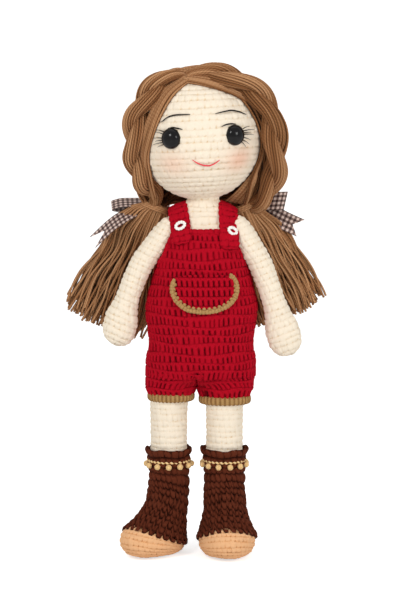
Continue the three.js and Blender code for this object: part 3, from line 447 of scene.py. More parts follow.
def build(name: str, grids: list[Grid], finish: Finish, body: str | None, *nodes: str) -> bpy.types.Object:
    """Put grids into one mesh object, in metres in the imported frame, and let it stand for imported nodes.

    Args:
        name: the piece's name.
        grids: the surfaces that make the piece.
        finish: what it is made of.
        body: the body that it rides on, or None where it is attached to no body.
        nodes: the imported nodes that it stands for.

    Returns:
        The object, at the origin, with its material.
    """
    verts, quads, tris, charts = [], [], [], []
    values: dict[str, list[Array]] = {key: [] for key in grids[0].values}
    start = 0
    for grid in grids:
        quad, tri = grid.faces()
        verts.append(grid.flat(grid.points))
        quads.append(quad + start)
        tris.append(tri + start)
        chart = grid.chart if grid.chart is not None else np.zeros((*grid.points.shape[:2], 2))
        charts.append(grid.flat(chart))
        for key, parts in values.items():
            parts.append(grid.flat(grid.values[key]))
        start += len(verts[-1])
    points = np.concatenate(verts) * MM + AXIS
    quad, tri = np.concatenate(quads), np.concatenate(tris)
    corners = np.concatenate([quad.ravel(), tri.ravel()])
    starts = np.concatenate([np.arange(len(quad)) * 4, len(quad) * 4 + np.arange(len(tri)) * 3])
    mesh = bpy.data.meshes.new(name)
    mesh.vertices.add(len(points))
    mesh.vertices.foreach_set("co", points.astype(np.float32).ravel())
    mesh.loops.add(len(corners))
    mesh.loops.foreach_set("vertex_index", corners.astype(np.int32))
    mesh.polygons.add(len(starts))
    mesh.polygons.foreach_set("loop_start", starts.astype(np.int32))
    chart_map = mesh.uv_layers.new(name="stitches")
    chart_map.data.foreach_set("uv", np.concatenate(charts)[corners].astype(np.float32).ravel())
    for key, parts in values.items():
        held = mesh.attributes.new(key, "FLOAT", "POINT")
        held.data.foreach_set("value", np.concatenate(parts).astype(np.float32))
    mesh.update(calc_edges=True)
    mesh.validate()
    mesh.shade_smooth()
    mesh.materials.append(finish.material())
    LOG.info("%s: %d faces", name, len(starts))
    piece = linked(name, mesh)
    if body:
        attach(piece, body)
    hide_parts(*nodes)
    return piece


@dataclass(frozen=True)
class StitchForm:
    """A worked stitch: its size, how far it stands out, each round's step sideways and how its rounds waver."""

    width: float
    height: float
    depth: float
    step: float
    waver: float


class Stitch(Enum):
    """The stitches that the doll is worked in, with their sizes in millimetres."""

    SINGLE = StitchForm(4.8, 4.7, 1.25, 0.16, 0.05)
    TALL = StitchForm(3.5, 6.1, 1.5, 0.5, 0.11)
    ROPE = StitchForm(4.9, 4.7, 2.0, 0.35, 0.05)
    FIRM = StitchForm(3.6, 3.4, 0.8, 0.3, 0.05)

    def relief_shade(self, across: Array, up: Array) -> Array:
        """Give a stitch's height from 0 in the holes to 1 on the crown, which also sets its painted shade.

        A single or firm stitch is a slanting pillow with a notch at its top and holes at its lower corners; a
        tall one a leaning post between slits, with a ridge of slanting loops at its head; a rope one a fat loop
        that leans.

        Args:
            across: place in the stitch from 0 to 1 along the round.
            up: place in the stitch from 0 to 1 up the fabric.

        Returns:
            Heights of the same shape.
        """
        mid = np.abs(2 * up - 1)
        if self is Stitch.TALL:
            side = np.abs(2 * ((across + 0.2 * (up - 0.4)) % 1) - 1)
            slit = bell(1 - side, 0.34) * ease(up, 0.0, 0.12) * (1 - ease(up, 0.5, 0.76))
            head = bell(up - 0.84, 0.13)
            loop = head * bell((across + 0.9 * (up - 0.84)) % 1 - 0.5, 0.14)
            groove = bell(up, 0.07) + 0.8 * bell(1 - up, 0.05)
            post = 0.3 * (1 - side ** 2) * (1 - head)
            return np.clip(0.6 + post + 0.26 * head - 0.75 * slit - 0.28 * loop - 0.5 * groove, 0, 1)
        if self is Stitch.ROPE:
            lean = (across + 0.22 * (up - 0.5)) % 1
            loop = np.clip(1 - np.abs(2 * lean - 1) ** 2.4, 0, 1)
            return np.clip((1 - mid ** 2.2) ** 0.8 * (0.3 + 0.7 * loop ** 0.7), 0, 1)
        slant = (across + 0.10 * (up - 0.5)) % 1
        side = np.abs(2 * slant - 1)
        pillow = np.clip(1 - mid ** 2.6, 0, 1) ** 0.7 * np.clip(1 - side ** 4, 0, 1) ** 0.4
        hole = np.exp(-((np.minimum(across, 1 - across) / 0.13) ** 2) - ((up / 0.2) ** 2))
        notch = bell(slant - 0.5, 0.09) * np.clip(up - 0.45, 0, 1)
        return np.clip(0.4 + 0.6 * pillow - 0.6 * hole - 0.35 * notch, 0, 1)


def bell(x: Array, width: float) -> Array:
    """Fall off smoothly from 1 at 0, as a bell curve of some width."""
    return np.exp(-((x / width) ** 2))


def ease(x: Array, low: float, high: float) -> Array:
    """Step smoothly from 0 at low to 1 at high."""
    t = np.clip((np.asarray(x) - low) / (high - low), 0, 1)
    return t * t * (3 - 2 * t)


def unit(vectors: Array) -> Array:
    """Scale vectors to a length of 1."""
    return vectors / np.maximum(np.linalg.norm(vectors, axis=-1, keepdims=True), 1e-9)


def stacked(*parts: Array | float) -> Array:
    """Spread coordinates over one shape and join them into points."""
    return np.stack(np.broadcast_arrays(*parts), axis=-1)


def turns(count: int, start: float = 0.0) -> Array:
    """Divide a full turn into equal steps."""
    return start + 2 * np.pi * np.arange(count) / count


def turning(degrees: float, upright: bool = False) -> Array:
    """Give the matrix of a turn about the front-to-back axis, or about the upright one."""
    c, s = math.cos(math.radians(degrees)), math.sin(math.radians(degrees))
    return np.array([[c, -s, 0], [s, c, 0], [0, 0, 1]] if upright else [[c, 0, s], [0, 1, 0], [-s, 0, c]])


def ball(rings: int, sides: int, hole: float) -> Array:
    """Give the points of a ball of radius 1: rings of the sine of an angle, at the height of its cosine.

    Args:
        rings: how many rings.
        sides: points round a ring.
        hole: the angle left open at each pole.

    Returns:
        rings x sides x 3.
    """
    rise = np.linspace(hole, np.pi - hole, rings)[:, None]
    turn = turns(sides)
    return stacked(np.sin(rise) * np.cos(turn), np.sin(rise) * np.sin(turn), -np.cos(rise))


def joint_spot(joint: str) -> Array:
    """Read a joint's place in the doll's own frame."""
    return (np.array(JOINTS[joint]["pos_m"]) - AXIS) / MM


def lengths(points: Array, axis: int) -> tuple[Array, Array]:
    """Measure a grid of closed rounds along one of its directions.

    Args:
        points: rows x columns x 3, the last column joining the first.
        axis: 0 up the rows, 1 round the columns.

    Returns:
        The length so far at each point, and the whole length of each line.
    """
    closed = np.concatenate([points, points[:, :1]], axis=1) if axis else points
    step = np.linalg.norm(np.diff(closed, axis=axis), axis=-1)
    so_far = np.cumsum(step, axis=axis)
    so_far = np.concatenate([np.zeros_like(np.take(so_far, [0], axis=axis)), so_far], axis=axis)
    return so_far[:, :points.shape[1]], step.sum(axis=axis)


def normals(points: Array, wrap: bool = True) -> Array:
    """Find unit normals of a grid from its differences: along the columns crossed with up the rows.

    Args:
        points: rows x columns x 3.
        wrap: whether the last column joins the first.

    Returns:
        Normals of the same shape.
    """
    if wrap:
        across = np.roll(points, -1, axis=1) - np.roll(points, 1, axis=1)
    else:
        across = np.gradient(points, axis=1)
    return unit(np.cross(across, np.gradient(points, axis=0)))


def crochet(base: Array, stitch: Stitch, seed: int, scale: float = 1.0, level: float = 0.75,
            row_weights: Array | None = None, columns: bool = False, closed: bool = False) -> Grid:
    """Work a smooth surface in stitches: rounds of equal height, each with a whole number of stitches.

    A point's round is its mean length up the surface over the stitch's height, and its stitch the share of
    the way round times the stitches of that round, stepped sideways from round to round; small waves make
    rounds and stitches uneven. The surface moves along its normal by the stitch's depth times its relief
    less a level.

    Args:
        base: rows x columns x 3, in millimetres, rows running up the fabric and columns closing in rounds.
        stitch: what it is worked in.
        seed: chooses the unevenness of the stitches.
        scale: enlarges the stitch's width and height.
        level: the relief that stays on the smooth surface.
        row_weights: weights of the columns in the length up the surface.
        columns: whether stitches keep to the grid's columns.
        closed: whether both its ends are closed.

    Returns:
        The worked surface with its height as painted shade and its tint, and stitch coordinates as its chart.
    """
    form = stitch.value
    if ((base - base.mean(axis=1, keepdims=True)) * normals(base)).sum() < 0:
        base = base[:, ::-1]
    climb = np.average(lengths(base, 0)[0], axis=1, weights=row_weights)
    around, girth = lengths(base, 1)
    rounds = max(1, round(climb[-1] / (form.height * scale)))
    even = climb / climb[-1] * rounds
    even = np.clip(even + 0.1 * np.sin(1.9 * even + seed), 0, rounds)
    counts = np.maximum(5, np.round(np.interp(np.arange(rounds) + 0.5, even, girth) / (form.width * scale)))
    share = around / np.maximum(girth, 1e-9)[:, None]
    if columns:
        share = np.broadcast_to(share.mean(axis=0), share.shape)
    wander = form.waver * np.sin(2 * np.pi * (4 * share + 0.31 * even[:, None] + 0.1 * seed))
    place = np.clip(even[:, None] + wander, 0, rounds)
    row = np.minimum(place.astype(int), rounds - 1)
    share = share + 0.004 * np.sin(2 * np.pi * (7 * share + 0.37 * row))
    across = share * counts[row] + form.step * row
    column = np.floor(across).astype(int)
    kinds = 512
    uneven = np.random.default_rng(RNG_SEED + seed).random((rounds, kinds))
    tint = uneven[row, column % kinds]
    height = stitch.relief_shade(across - column, np.clip(place - row, 0, 1))
    height = np.clip(1 - (1 - height) * (0.55 + 0.6 * uneven[row, (column + 200) % kinds]), 0, 1)
    lift = form.depth * (height * (0.82 + 0.36 * tint) - level)
    points = base + normals(base) * lift[..., None]
    return Grid(points, {"relief_shade": height, "tint": tint}, stacked(across, place), True, closed, closed)


def hermite(x: Array, y: Array, slope: Array, at: Array) -> Array:
    """Read a chain of cubics, each set by the values and slopes at its two ends.

    Args:
        x: parameters of the stations, in order.
        y: their values, one row each.
        slope: their slopes, one row each.
        at: parameters to read.

    Returns:
        The values, one row per parameter.
    """
    i = np.clip(np.searchsorted(x, at, side="right") - 1, 0, len(x) - 2)
    width = (x[i + 1] - x[i])[:, None]
    t = (at - x[i])[:, None] / width
    return ((2 * t ** 3 - 3 * t ** 2 + 1) * y[i] + (t ** 3 - 2 * t ** 2 + t) * width * slope[i]
            + (3 * t ** 2 - 2 * t ** 3) * y[i + 1] + (t ** 3 - t ** 2) * width * slope[i + 1])


def curve(stations: Array | Table, at: Array) -> Array:
    """Run a smooth curve through stations: a cubic with slopes from neighbours, level at peaks.

    Args:
        stations: rows of a parameter and values, in order of the parameter.
        at: parameters to read.

    Returns:
        The values, one row per parameter.
    """
    table = np.array(stations, float)
    x, y = table[:, 0], table[:, 1:]
    rise = np.diff(y, axis=0) / np.diff(x)[:, None]
    slope = np.zeros_like(y)
    same = rise[:-1] * rise[1:] > 0
    slope[1:-1] = np.where(same, 2 * rise[:-1] * rise[1:] / np.where(same, rise[:-1] + rise[1:], 1), 0)
    slope[0], slope[-1] = rise[0], rise[-1]
    return hermite(x, y, slope, at)


def run(paths: Array) -> Array:
    """Measure the length so far at each point of one path or of many (... x points x 3)."""
    step = np.linalg.norm(np.diff(paths, axis=-2), axis=-1)
    return np.concatenate([np.zeros((*step.shape[:-1], 1)), np.cumsum(step, axis=-1)], axis=-1)


def spline(points: Array, count: int) -> Array:
    """Run a smooth curve through points in space, evenly spaced in its own length.

    Args:
        points: n x 3.
        count: how many points to give.

    Returns:
        count x 3.
    """
    steps = run(points)
    slope = np.gradient(points, steps, axis=0, edge_order=1)
    path = hermite(steps, points, slope, np.linspace(0, steps[-1], 40 * len(points)))
    so_far = run(path)
    even = np.linspace(0, so_far[-1], count)
    return np.stack([np.interp(even, so_far, path[:, k]) for k in range(3)], axis=1)


def frames(paths: Array, out: Array) -> tuple[Array, Array]:
    """Give each path point a direction across and one outwards, square to the path.

    Args:
        paths: ... x points x 3.
        out: rough outward directions of the same shape, or one direction.

    Returns:
        Across and outward unit vectors.
    """
    along = unit(np.gradient(paths, axis=-2))
    out = np.broadcast_to(out, paths.shape)
    out = unit(out - along * (out * along).sum(-1, keepdims=True))
    return np.cross(along, out), out


def sweep(path: Array, out: Array, half_width: Array | float, half_depth: Array | float, sides: int,
          square: float = 1.0) -> Array:
    """Carry a rounded section along a path.

    The section is a superellipse: its sine and cosine are raised to the power square, so 1 is an ellipse
    and smaller values are boxier.

    Args:
        path: points x 3.
        out: outward direction at each point.
        half_width: half the section's size across.
        half_depth: half its size outwards.
        sides: points round the section.
        square: the power.

    Returns:
        points x sides x 3.
    """
    across, outward = frames(path, out)
    angle = turns(sides)
    c, s = (np.sign(part) * np.abs(part) ** square for part in (np.cos(angle), np.sin(angle)))
    wide, deep = (np.broadcast_to(half, len(path))[:, None, None] for half in (half_width, half_depth))
    return path[:, None] + across[:, None] * c[:, None] * wide + outward[:, None] * s[:, None] * deep


def strands(paths: Array, out: Array, radius: Array | float, tint: Array, sides: int = 5) -> list[Grid]:
    """Turn many paths into yarn tubes at once: a circle carried along each path, with painted shade on its inner
    side.

    Args:
        paths: strands x points x 3.
        out: rough outward directions.
        radius: tube radius, one or strands x points.
        tint: a shade for each strand from 0 to 1.
        sides: points round a tube.

    Returns:
        One grid per strand, with its ends closed.
    """
    across, outward = frames(paths, out)
    angle = turns(sides)
    size = np.broadcast_to(radius, paths.shape[:2])[..., None, None]
    ring = across[..., None, :] * np.cos(angle)[:, None] + outward[..., None, :] * np.sin(angle)[:, None]
    points = paths[..., None, :] + ring * size
    # Painted shade: each tube is lighter on its outer side and darker on its inner side, where the strands shade
    # each other
    facing_shade = 0.24 + 0.3 * np.sin(angle)
    # Ply lines repeat twice round a strand and once in 2.5 mm along it
    charts = stacked(angle / (2 * np.pi) * 2, run(paths)[..., None] / 2.5)
    made = [plain(tube, facing_shade, shade, closed=True) for tube, shade in zip(points, tint)]
    for grid, chart in zip(made, charts):
        grid.chart = chart
    return made


@dataclass
class Studio:
    """A white sweep of floor, soft lamps and the camera, which sees the doll's front from a little above.

    Its sizes are in metres, and the sensor's height in millimetres. lamps holds names, places, turns
    in degrees, sizes and powers; profile the floor's places y and heights from front to back.
    """

    distance: float = 1.35
    elevation_deg: float = 7.0
    frame_height: float = 0.4045
    sensor: float = 24.0
    target: Triple = (0.0006, 0.0, 0.1653)
    lamps: tuple[tuple[str, tuple[float, ...], tuple[float, ...], float, float], ...] = (
        ("key", (-0.55, -0.95, 0.85), (52, 0, -30), 0.30, 5.3),
        ("fill", (0.75, -0.85, 0.55), (64, 0, 42), 0.36, 3.8),
        ("top", (0.0, 0.1, 1.25), (0, 0, 0), 0.9, 1.2))
    profile: Table = (
        (-3.0, -0.0005), (1.2, -0.0005), (1.8, 0.03), (2.4, 0.3), (2.7, 1.0), (2.8, 3.0))
    floor_half: float = 4.0
    sky_light: float = 0.5

    def build(self) -> None:
        """Make the camera, lamps, floor and world."""
        scene = bpy.context.scene
        scene.view_settings.view_transform = "Standard"
        tilt = math.radians(self.elevation_deg)
        camera = bpy.data.cameras.new("camera")
        camera.sensor_fit = "VERTICAL"
        camera.sensor_height = self.sensor
        camera.lens = self.sensor * self.distance / self.frame_height
        eye = linked("camera", camera)
        way = np.array([0, -math.cos(tilt), math.sin(tilt)])
        eye.location = np.array(self.target) + AXIS + self.distance * way
        eye.rotation_euler = (math.pi / 2 - tilt, 0, 0)
        scene.camera = eye
        for name, place, turn, size, power in self.lamps:
            lamp = bpy.data.lights.new(name, "AREA")
            lamp.size, lamp.energy = size, power
            holder = linked(name, lamp)
            holder.location = place
            holder.rotation_euler = tuple(math.radians(a) for a in turn)
        self.floor()
        self.sky(scene)

    def floor(self) -> None:
        """Lay a pale floor that curves up far behind the doll: a profile carried sideways."""
        run_back, height = np.array(self.profile).T[..., None]
        grid = Grid(stacked(np.array([-self.floor_half, self.floor_half]), run_back, height), wrap=False)
        mesh = bpy.data.meshes.new("studio_floor")
        mesh.from_pydata(grid.points.reshape(-1, 3).tolist(), [], grid.faces()[0].tolist())
        mesh.shade_smooth()
        mesh.materials.append(Paper().material())
        linked("studio_floor", mesh)

    def sky(self, scene: bpy.types.Scene) -> None:
        """Light all round softly, white to the camera and to reflections.

        Args:
            scene: the scene to light.
        """
        scene.world = bpy.data.worlds.new("studio_white")
        scene.world.use_nodes = True
        tree = scene.world.node_tree
        strength = node(tree, "MapRange", {0: shown(tree), 3: self.sky_light, 4: 1.0})
        plug(tree, tree.nodes["Background"], {0: WHITE_LIGHT, 1: strength.outputs[0]})


@dataclass
class Head:
    """The stuffed head with its glossy eyes and embroidered face, leaning a little to the doll's right.

    rounds are the angles of the first and the last round, from the neck's pole up; thread, lid_thread and
    lash_thread are the embroidery's radii, and thread_lift its distance off the head; cheeks holds each blush's
    place across, height above the head's middle and strength.
    """

    half: Triple = (41.0, 39.0, 42.0)
    rounds: Pair = (0.10, 2.96)
    lean_deg: float = -3.0
    eye_spacing: float = 40.8
    eye_size: Triple = (6.4, 6.7, 4.8)
    eye_up: float = 0.1
    eye_lift: float = 0.2
    face_shift: float = 2.2
    thread: float = 0.5
    lid_thread: float = 0.45
    lash_thread: float = 0.32
    thread_lift: float = 1.0
    lash_bow: float = 0.3
    cheeks: Table = ((-20.5, -16.5, 0.34), (22.5, -15.8, 0.55))
    cheek_half: float = 9.0
    cheek_oval: Triple = (0.85, 1.0, 1.1)

    @property
    def centre(self) -> Array:
        """The middle of the head before it leans."""
        return np.array([0.0, 0.0, NECK_HEIGHT + self.half[2]])

    def lean(self, points: Array, way: float = 1.0) -> Array:
        """Lean points of the upright head about the neck: a turn about y by the lean angle, or back by -1."""
        pivot = np.array([0, 0, NECK_HEIGHT])
        return (points - pivot) @ turning(way * self.lean_deg).T + pivot

    def reach(self, direction: Array) -> Array:
        """Measure from the head's middle to its surface: 1 over a unit direction's length in half-sizes."""
        return 1 / np.linalg.norm(unit(direction) / np.array(self.half), axis=-1)

    def surface(self, direction: Array, lift: Array | float = 0.0) -> Array:
        """Find the points of the upright head in some directions from its middle, lifted off it."""
        return self.centre + unit(direction) * (self.reach(direction) + lift)[..., None]

    def face(self, x: Array | float, up: Array | float, lift: float = 0.0) -> Array:
        """Find points on the front of the head at places across and heights above its middle.

        Args:
            x: places across, from the face's own middle, which is set over a little.
            up: heights.
            lift: distance off the head.

        Returns:
            ... x 3 points of the upright head, where y makes the ellipsoid's equation true.
        """
        x = x + self.face_shift
        wide, deep, tall = (h + lift for h in self.half)
        y = -deep * np.sqrt(np.clip(1 - (x / wide) ** 2 - (up / tall) ** 2, 0, 1))
        return np.stack([x, y, self.centre[2] + up], axis=-1)

    def build(self) -> None:
        """Make the head's cover, eyes and threads."""
        self.cover()
        for side in Side:
            self.eye(side)
            self.brow_and_lashes(side)
        self.mouth()

    def cover(self) -> None:
        """Work the head in rounds: rings of an ellipsoid from the neck to the crown, seamed at the back."""
        rise = np.linspace(*self.rounds, 196)[:, None]
        turn = turns(364, SEAM)
        wide, deep, tall = self.half
        base = stacked(wide * np.sin(rise) * np.cos(turn), deep * np.sin(rise) * np.sin(turn),
                       self.centre[2] - tall * np.cos(rise))
        grid = crochet(base, Stitch.SINGLE, seed=1, closed=True)
        blush = np.zeros(grid.points.shape[:2])
        for x, up, strong in self.cheeks:
            off = np.linalg.norm((grid.points - self.face(x, up)) * np.array(self.cheek_oval), axis=-1)
            blush = np.maximum(blush, strong * bell(off, self.cheek_half))
        grid.values["blush"] = blush
        grid.points = self.lean(grid.points)
        piece = build("head", [grid], SKIN, "head", "head_cover", "head_stuffing")

    def eye(self, side: Side) -> None:
        """Set a domed eye: an ellipse carried up a quarter round, on the head's own direction outwards.

        Args:
            side: which eye.
        """
        spot = self.face(side.sign * self.eye_spacing / 2, self.eye_up)
        out = unit((spot - self.centre) / np.array(self.half) ** 2)
        across = unit(np.cross([0, 0, 1], out))
        rise = np.concatenate([[-0.5, -0.25], np.linspace(0, np.pi / 2 * 0.97, 16)])[:, None]
        turn = turns(40)
        wide, tall, bulge = self.eye_size
        dome = np.maximum(rise, 0)
        lift = np.where(rise < 0, rise * 4, bulge * np.sin(dome)) + self.eye_lift
        points = (spot + across * (wide * np.cos(dome) * np.cos(turn))[..., None]
                  + np.cross(out, across) * (tall * np.cos(dome) * np.sin(turn))[..., None] + out * lift[..., None])
        grid = Grid(self.lean(points), cap_first=True, cap_last=True)
        tag = side.tag
        build("eye_bead_" + tag, [grid], Plastic(), "head", "eye_" + tag, "eye_washer_" + tag)

    def stroke(self, places: list[Pair], thick: float, count: int = 24, rooted: bool = False) -> Grid:
        """Lay one embroidered stroke on the face, thinner towards its ends, or only its far end if rooted.

        Args:
            places: across and up from the head's middle.
            thick: its radius.
            count: points along it.
            rooted: whether it keeps its full radius where it starts.

        Returns:
            The stroke's tube.
        """
        t = np.linspace(0, 1, count)
        x, up = curve(np.column_stack([np.linspace(0, 1, len(places)), places]), t).T
        path = self.lean(self.face(x, up, self.thread_lift))
        taper = 1 - 0.75 * t if rooted else 0.35 + 0.65 * np.sin(np.pi * t) ** 0.6
        return strands(path[None], path - self.lean(self.centre), (thick * taper)[None], np.array([0.5]), 6)[0]

    def brow_and_lashes(self, side: Side) -> None:
        """Embroider a brow, the line over the eye and the outer lashes, each a stroke from place to place.

        Args:
            side: which side of the face.
        """
        if side is Side.RIGHT:
            brow = [(-26.5, 10.6), (-20.6, 14.2), (-15.5, 15.0), (-7.4, 14.9)]
            lid = [(-22.2, 6.6), (-19.2, 7.1), (-16.4, 6.6), (-12.8, 5.7)]
            hairs = [(-25.0, 4.8, -31.4, 6.2), (-25.6, 3.2, -30.2, 4.4), (-26.0, 0.6, -32.0, 0.6),
                     (-26.0, -0.8, -30.8, -1.4), (-25.8, -2.2, -32.4, -3.6), (-25.2, -3.6, -29.8, -5.2)]
        else:
            brow = [(8.6, 14.4), (14.0, 15.4), (18.6, 15.9), (23.4, 14.9), (28.4, 12.6)]
            lid = [(12.0, 6.0), (15.0, 7.1), (18.2, 7.5), (21.6, 7.0)]
            hairs = [(25.8, 3.8, 30.4, 5.0), (26.0, 2.4, 33.4, 2.6), (26.2, 1.2, 31.0, 0.6),
                     (26.0, 0.2, 32.8, -0.8), (25.8, -1.8, 30.6, -4.0), (25.2, -3.2, 29.6, -6.6),
                     (24.4, -4.4, 27.4, -8.4)]
        build("brow_" + side.tag, [self.stroke(brow, self.thread)], BLACK, "head", "eyebrow_" + side.tag)
        fine = [self.stroke([(a, b), ((a + c) / 2, (b + d) / 2 + self.lash_bow), (c, d)], self.lash_thread, 8, True)
                for a, b, c, d in hairs]
        lashes = [self.stroke(lid, self.lid_thread), *fine]
        build("lashes_" + side.tag, lashes, BLACK, "head", "eyelashes_" + side.tag)

    def mouth(self) -> None:
        """Embroider the smile as one red stroke that sags between its corners."""
        smile = [(-7.6, -14.0), (-4.0, -16.6), (0.5, -18.2), (3.0, -18.4), (6.6, -17.2), (9.9, -15.1)]
        build("smile", [self.stroke(smile, self.thread)], SMILE, "head", "mouth")


@dataclass
class Torso:
    """The stuffed body with its neck, and the red overalls with bib, straps, buttons and pocket.

    sections holds rises above the hip axis with full widths and depths, as the body swells and tapers; cloth is
    the overalls' thickness; straps holds the left and the right strap's lower end, its place across there and on
    the shoulder; buttons their places across, rises and slants in degrees; pocket_curve the edging's course.
    """

    sections: Table = (
        (-4, 66.0, 36.0), (0, 67.6, 40.0), (11, 67.6, 46.5), (22, 64.0, 50.0), (46, 68.6, 52.0), (67, 59.8, 46.0),
        (88, 51.0, 40.0), (104, 48.0, 28.0), (111, 34.6, 24.6), (118, 21.2, 21.2), (130, 20.6, 20.6))
    hip_shift: float = -1.7
    neck_rise: float = 118.0
    body_span: Pair = (58.0, 127.0)
    cloth: float = 2.6
    trunk_low: float = 1.0
    crotch_x: float = -4.3
    crease_half: float = 4.2
    crease_deep: float = 4.6
    bib_rise: float = 98.5
    bib_half: float = 21.5
    bib_x: float = 1.6
    bib_corner: float = 3.0
    armhole_rise: float = 78.0
    strap_half: float = 6.6
    strap_thick: float = 1.5
    strap_top: float = 113.2
    strap_back: float = 80.0
    strap_back_x: float = 10.0
    straps: Table = ((86.4, 17.4, 16.4), (90.0, 13.2, 16.5))
    buttons: Table = ((17.8, 97.8, -26), (-13.9, 101.2, 24))
    button_half: Pair = (3.2, 2.2)
    button_lift: float = 2.9
    pocket_half: float = 20.8
    pocket_x: float = 1.0
    pocket_depth: float = 21.0
    pocket_rise: float = 69.0
    pocket_round: float = 2.8
    pocket_curve: Table = (
        (-18.6, 68.0), (-20.2, 61.0), (-16.6, 53.0), (-10.6, 48.7), (-1.3, 47.1), (10.6, 48.3), (18.6, 52.8),
        (22.0, 59.4), (21.2, 66.0), (17.4, 71.0))
    shell: float = 1.35

    def half(self, rise: Array) -> Array:
        """Read the body's half-width and half-depth at some rises."""
        return curve(self.sections, np.asarray(rise, float)) / 2

    def shift(self, rise: Array) -> Array:
        """Read how far the body's middle is set over: all of it at the hips, none at the neck."""
        return self.hip_shift * np.clip(1 - np.asarray(rise) / self.neck_rise, 0, 1)

    def ring(self, rise: Array, turn: Array, grow: Array | float) -> Array:
        """Find points of the body: an ellipse at each rise, grown outwards.

        Args:
            rise: rises above the hips, one per row.
            turn: angles, one per column.
            grow: distance outside the body.

        Returns:
            rows x columns x 3.
        """
        wide, deep = self.half(rise).T[..., None]
        x = self.shift(rise)[:, None] + (wide + grow) * np.cos(turn)
        return stacked(x, (deep + grow) * np.sin(turn), (HIP_HEIGHT + rise)[:, None])

    def front(self, x: Array, rise: Array, grow: Array | float) -> Array:
        """Find points on the front of the body at places across and rises: y from the ellipse there.

        Args:
            x: places across.
            rise: rises above the hips.
            grow: distance outside the body.

        Returns:
            ... x 3 points.
        """
        x, rise = np.broadcast_arrays(np.asarray(x, float), np.asarray(rise, float))
        grown = np.broadcast_to(grow, rise.shape).ravel()[:, None]
        wide, deep = (self.half(rise.ravel()) + grown).T.reshape(2, *rise.shape)
        level = np.clip(1 - ((x - self.shift(rise)) / wide) ** 2, 0, 1)
        return np.stack([x, -deep * np.sqrt(level), HIP_HEIGHT + rise], axis=-1)

    def edge(self, x: Array) -> Array:
        """Read the overalls' top edge: the bib's top, sloping down by a smooth step to the armholes.

        Args:
            x: places across.

        Returns:
            Rises above the hips.
        """
        side = self.half(np.array([self.armhole_rise]))[0, 0] + self.cloth
        away = ease(np.abs(x - self.bib_x), self.bib_half - self.bib_corner, side)
        return self.bib_rise + (self.armhole_rise - self.bib_rise) * away

    def build(self) -> None:
        """Make the body, the overalls and what is sewn on them."""
        self.body()
        self.overalls()
        for side in Side:
            self.strap(side)
            self.button(side)
        self.pocket()

    def body(self) -> None:
        """Work the upper body and neck in rounds of single stitches, a little slimmer under the overalls."""
        rise = np.linspace(*self.body_span, 120)
        under = -1.3 * (1 - ease(rise, 78, 88))[:, None]
        grid = crochet(self.ring(rise, turns(252, SEAM), under), Stitch.SINGLE, seed=2, closed=True)
        grid.values["blush"] = np.zeros(grid.points.shape[:2])
        piece = build("body", [grid], SKIN, "torso", "body_cover", "body_stuffing")

    def overalls(self) -> None:
        """Work the overalls in rounds of tall stitches, cut off along the bib and armholes, with a turned edge.

        A crease runs up from the crotch: a bell-shaped dip across it that fades out upwards. Points above the
        top edge come down onto it, and faces wholly above it are folded flat inside.
        """
        rise = np.linspace(self.trunk_low, self.bib_rise, 176)
        turn = turns(480, SEAM)
        base = self.ring(rise, turn, self.cloth)
        crease = bell(base[..., 0] - self.crotch_x, self.crease_half) * (1 - ease(rise, 0, 11))[:, None]
        base[..., 1] -= np.sign(base[..., 1]) * self.crease_deep * crease
        grid = crochet(base, Stitch.TALL, seed=3)
        top = HIP_HEIGHT + self.edge(grid.points[..., 0] - self.shift(rise)[:, None])
        share = ease(np.clip(grid.points[..., 2] - top, 0, None), 0.0, 1.5)[..., None]
        folded = self.ring(rise, turn, 0.4)
        for points in (folded, grid.points):
            points[..., 2] = np.minimum(points[..., 2], top)
        grid.points = grid.points * (1 - share) + folded * share
        build("overalls", [grid, self.border()], RED, "torso", "overalls_trunk")

    def border(self) -> Grid:
        """Run a rounded edge along the top of the overalls, front and back: a cord at the edge's height.

        The height at each angle depends on the width there and the width on the height, so both are found by
        going half of the way to the edge again and again.

        Returns:
            The cord.
        """
        turn = turns(420, SEAM)
        rise = np.full(len(turn), 80.0)
        for _ in range(30):
            wide, deep = (self.half(rise) + self.cloth - 0.4).T
            rise = 0.5 * rise + 0.5 * self.edge(wide * np.cos(turn))
        path = stacked(self.shift(rise) + wide * np.cos(turn), deep * np.sin(turn), HIP_HEIGHT + rise - 0.6)
        path = np.concatenate([path, path[:1]])
        return crochet(sweep(path, path * LEVEL, 1.7, 1.5, 12), Stitch.FIRM, seed=4, level=0.6)

    def strap(self, side: Side) -> None:
        """Carry a flat rounded band from the bib over the shoulder to the back, with round ends.

        Args:
            side: which strap.
        """
        top, far, half_way = self.strap_top, self.strap_back, 60
        low, low_x, high_x = side.pick(*self.straps)
        rise = np.concatenate([np.linspace(low, top, half_way), np.linspace(top, far, half_way)[1:]])
        back = np.arange(len(rise)) >= half_way
        x = side.sign * np.where(back, np.interp(rise, [far, 104], [self.strap_back_x, high_x]),
                                 np.interp(rise, [88, top], [low_x, high_x]))
        points = self.front(x, rise, self.cloth + 1.6 - 1.8 * ease(rise, 94, 101))
        points[..., 1] *= np.where(back, -1, 1)
        path = spline(points[::7], 132)
        out = (path - np.array([0, 0, HIP_HEIGHT + 84])) * np.array([0.33, 1.0, 0.4])
        t = np.linspace(0, 1, len(path))
        end = np.sqrt(np.clip(1 - (np.clip(0.055 - np.minimum(t, 1 - t), 0, 1) / 0.055) ** 2, 0.03, 1))
        base = sweep(path, out, self.strap_half * end, self.strap_thick * np.minimum(1, end * 1.4), 56, 0.7)
        grid = crochet(base, Stitch.SINGLE, seed=5, scale=0.86, closed=True)
        build("strap_band_" + side.tag, [grid], RED, "torso", "strap_" + side.tag)

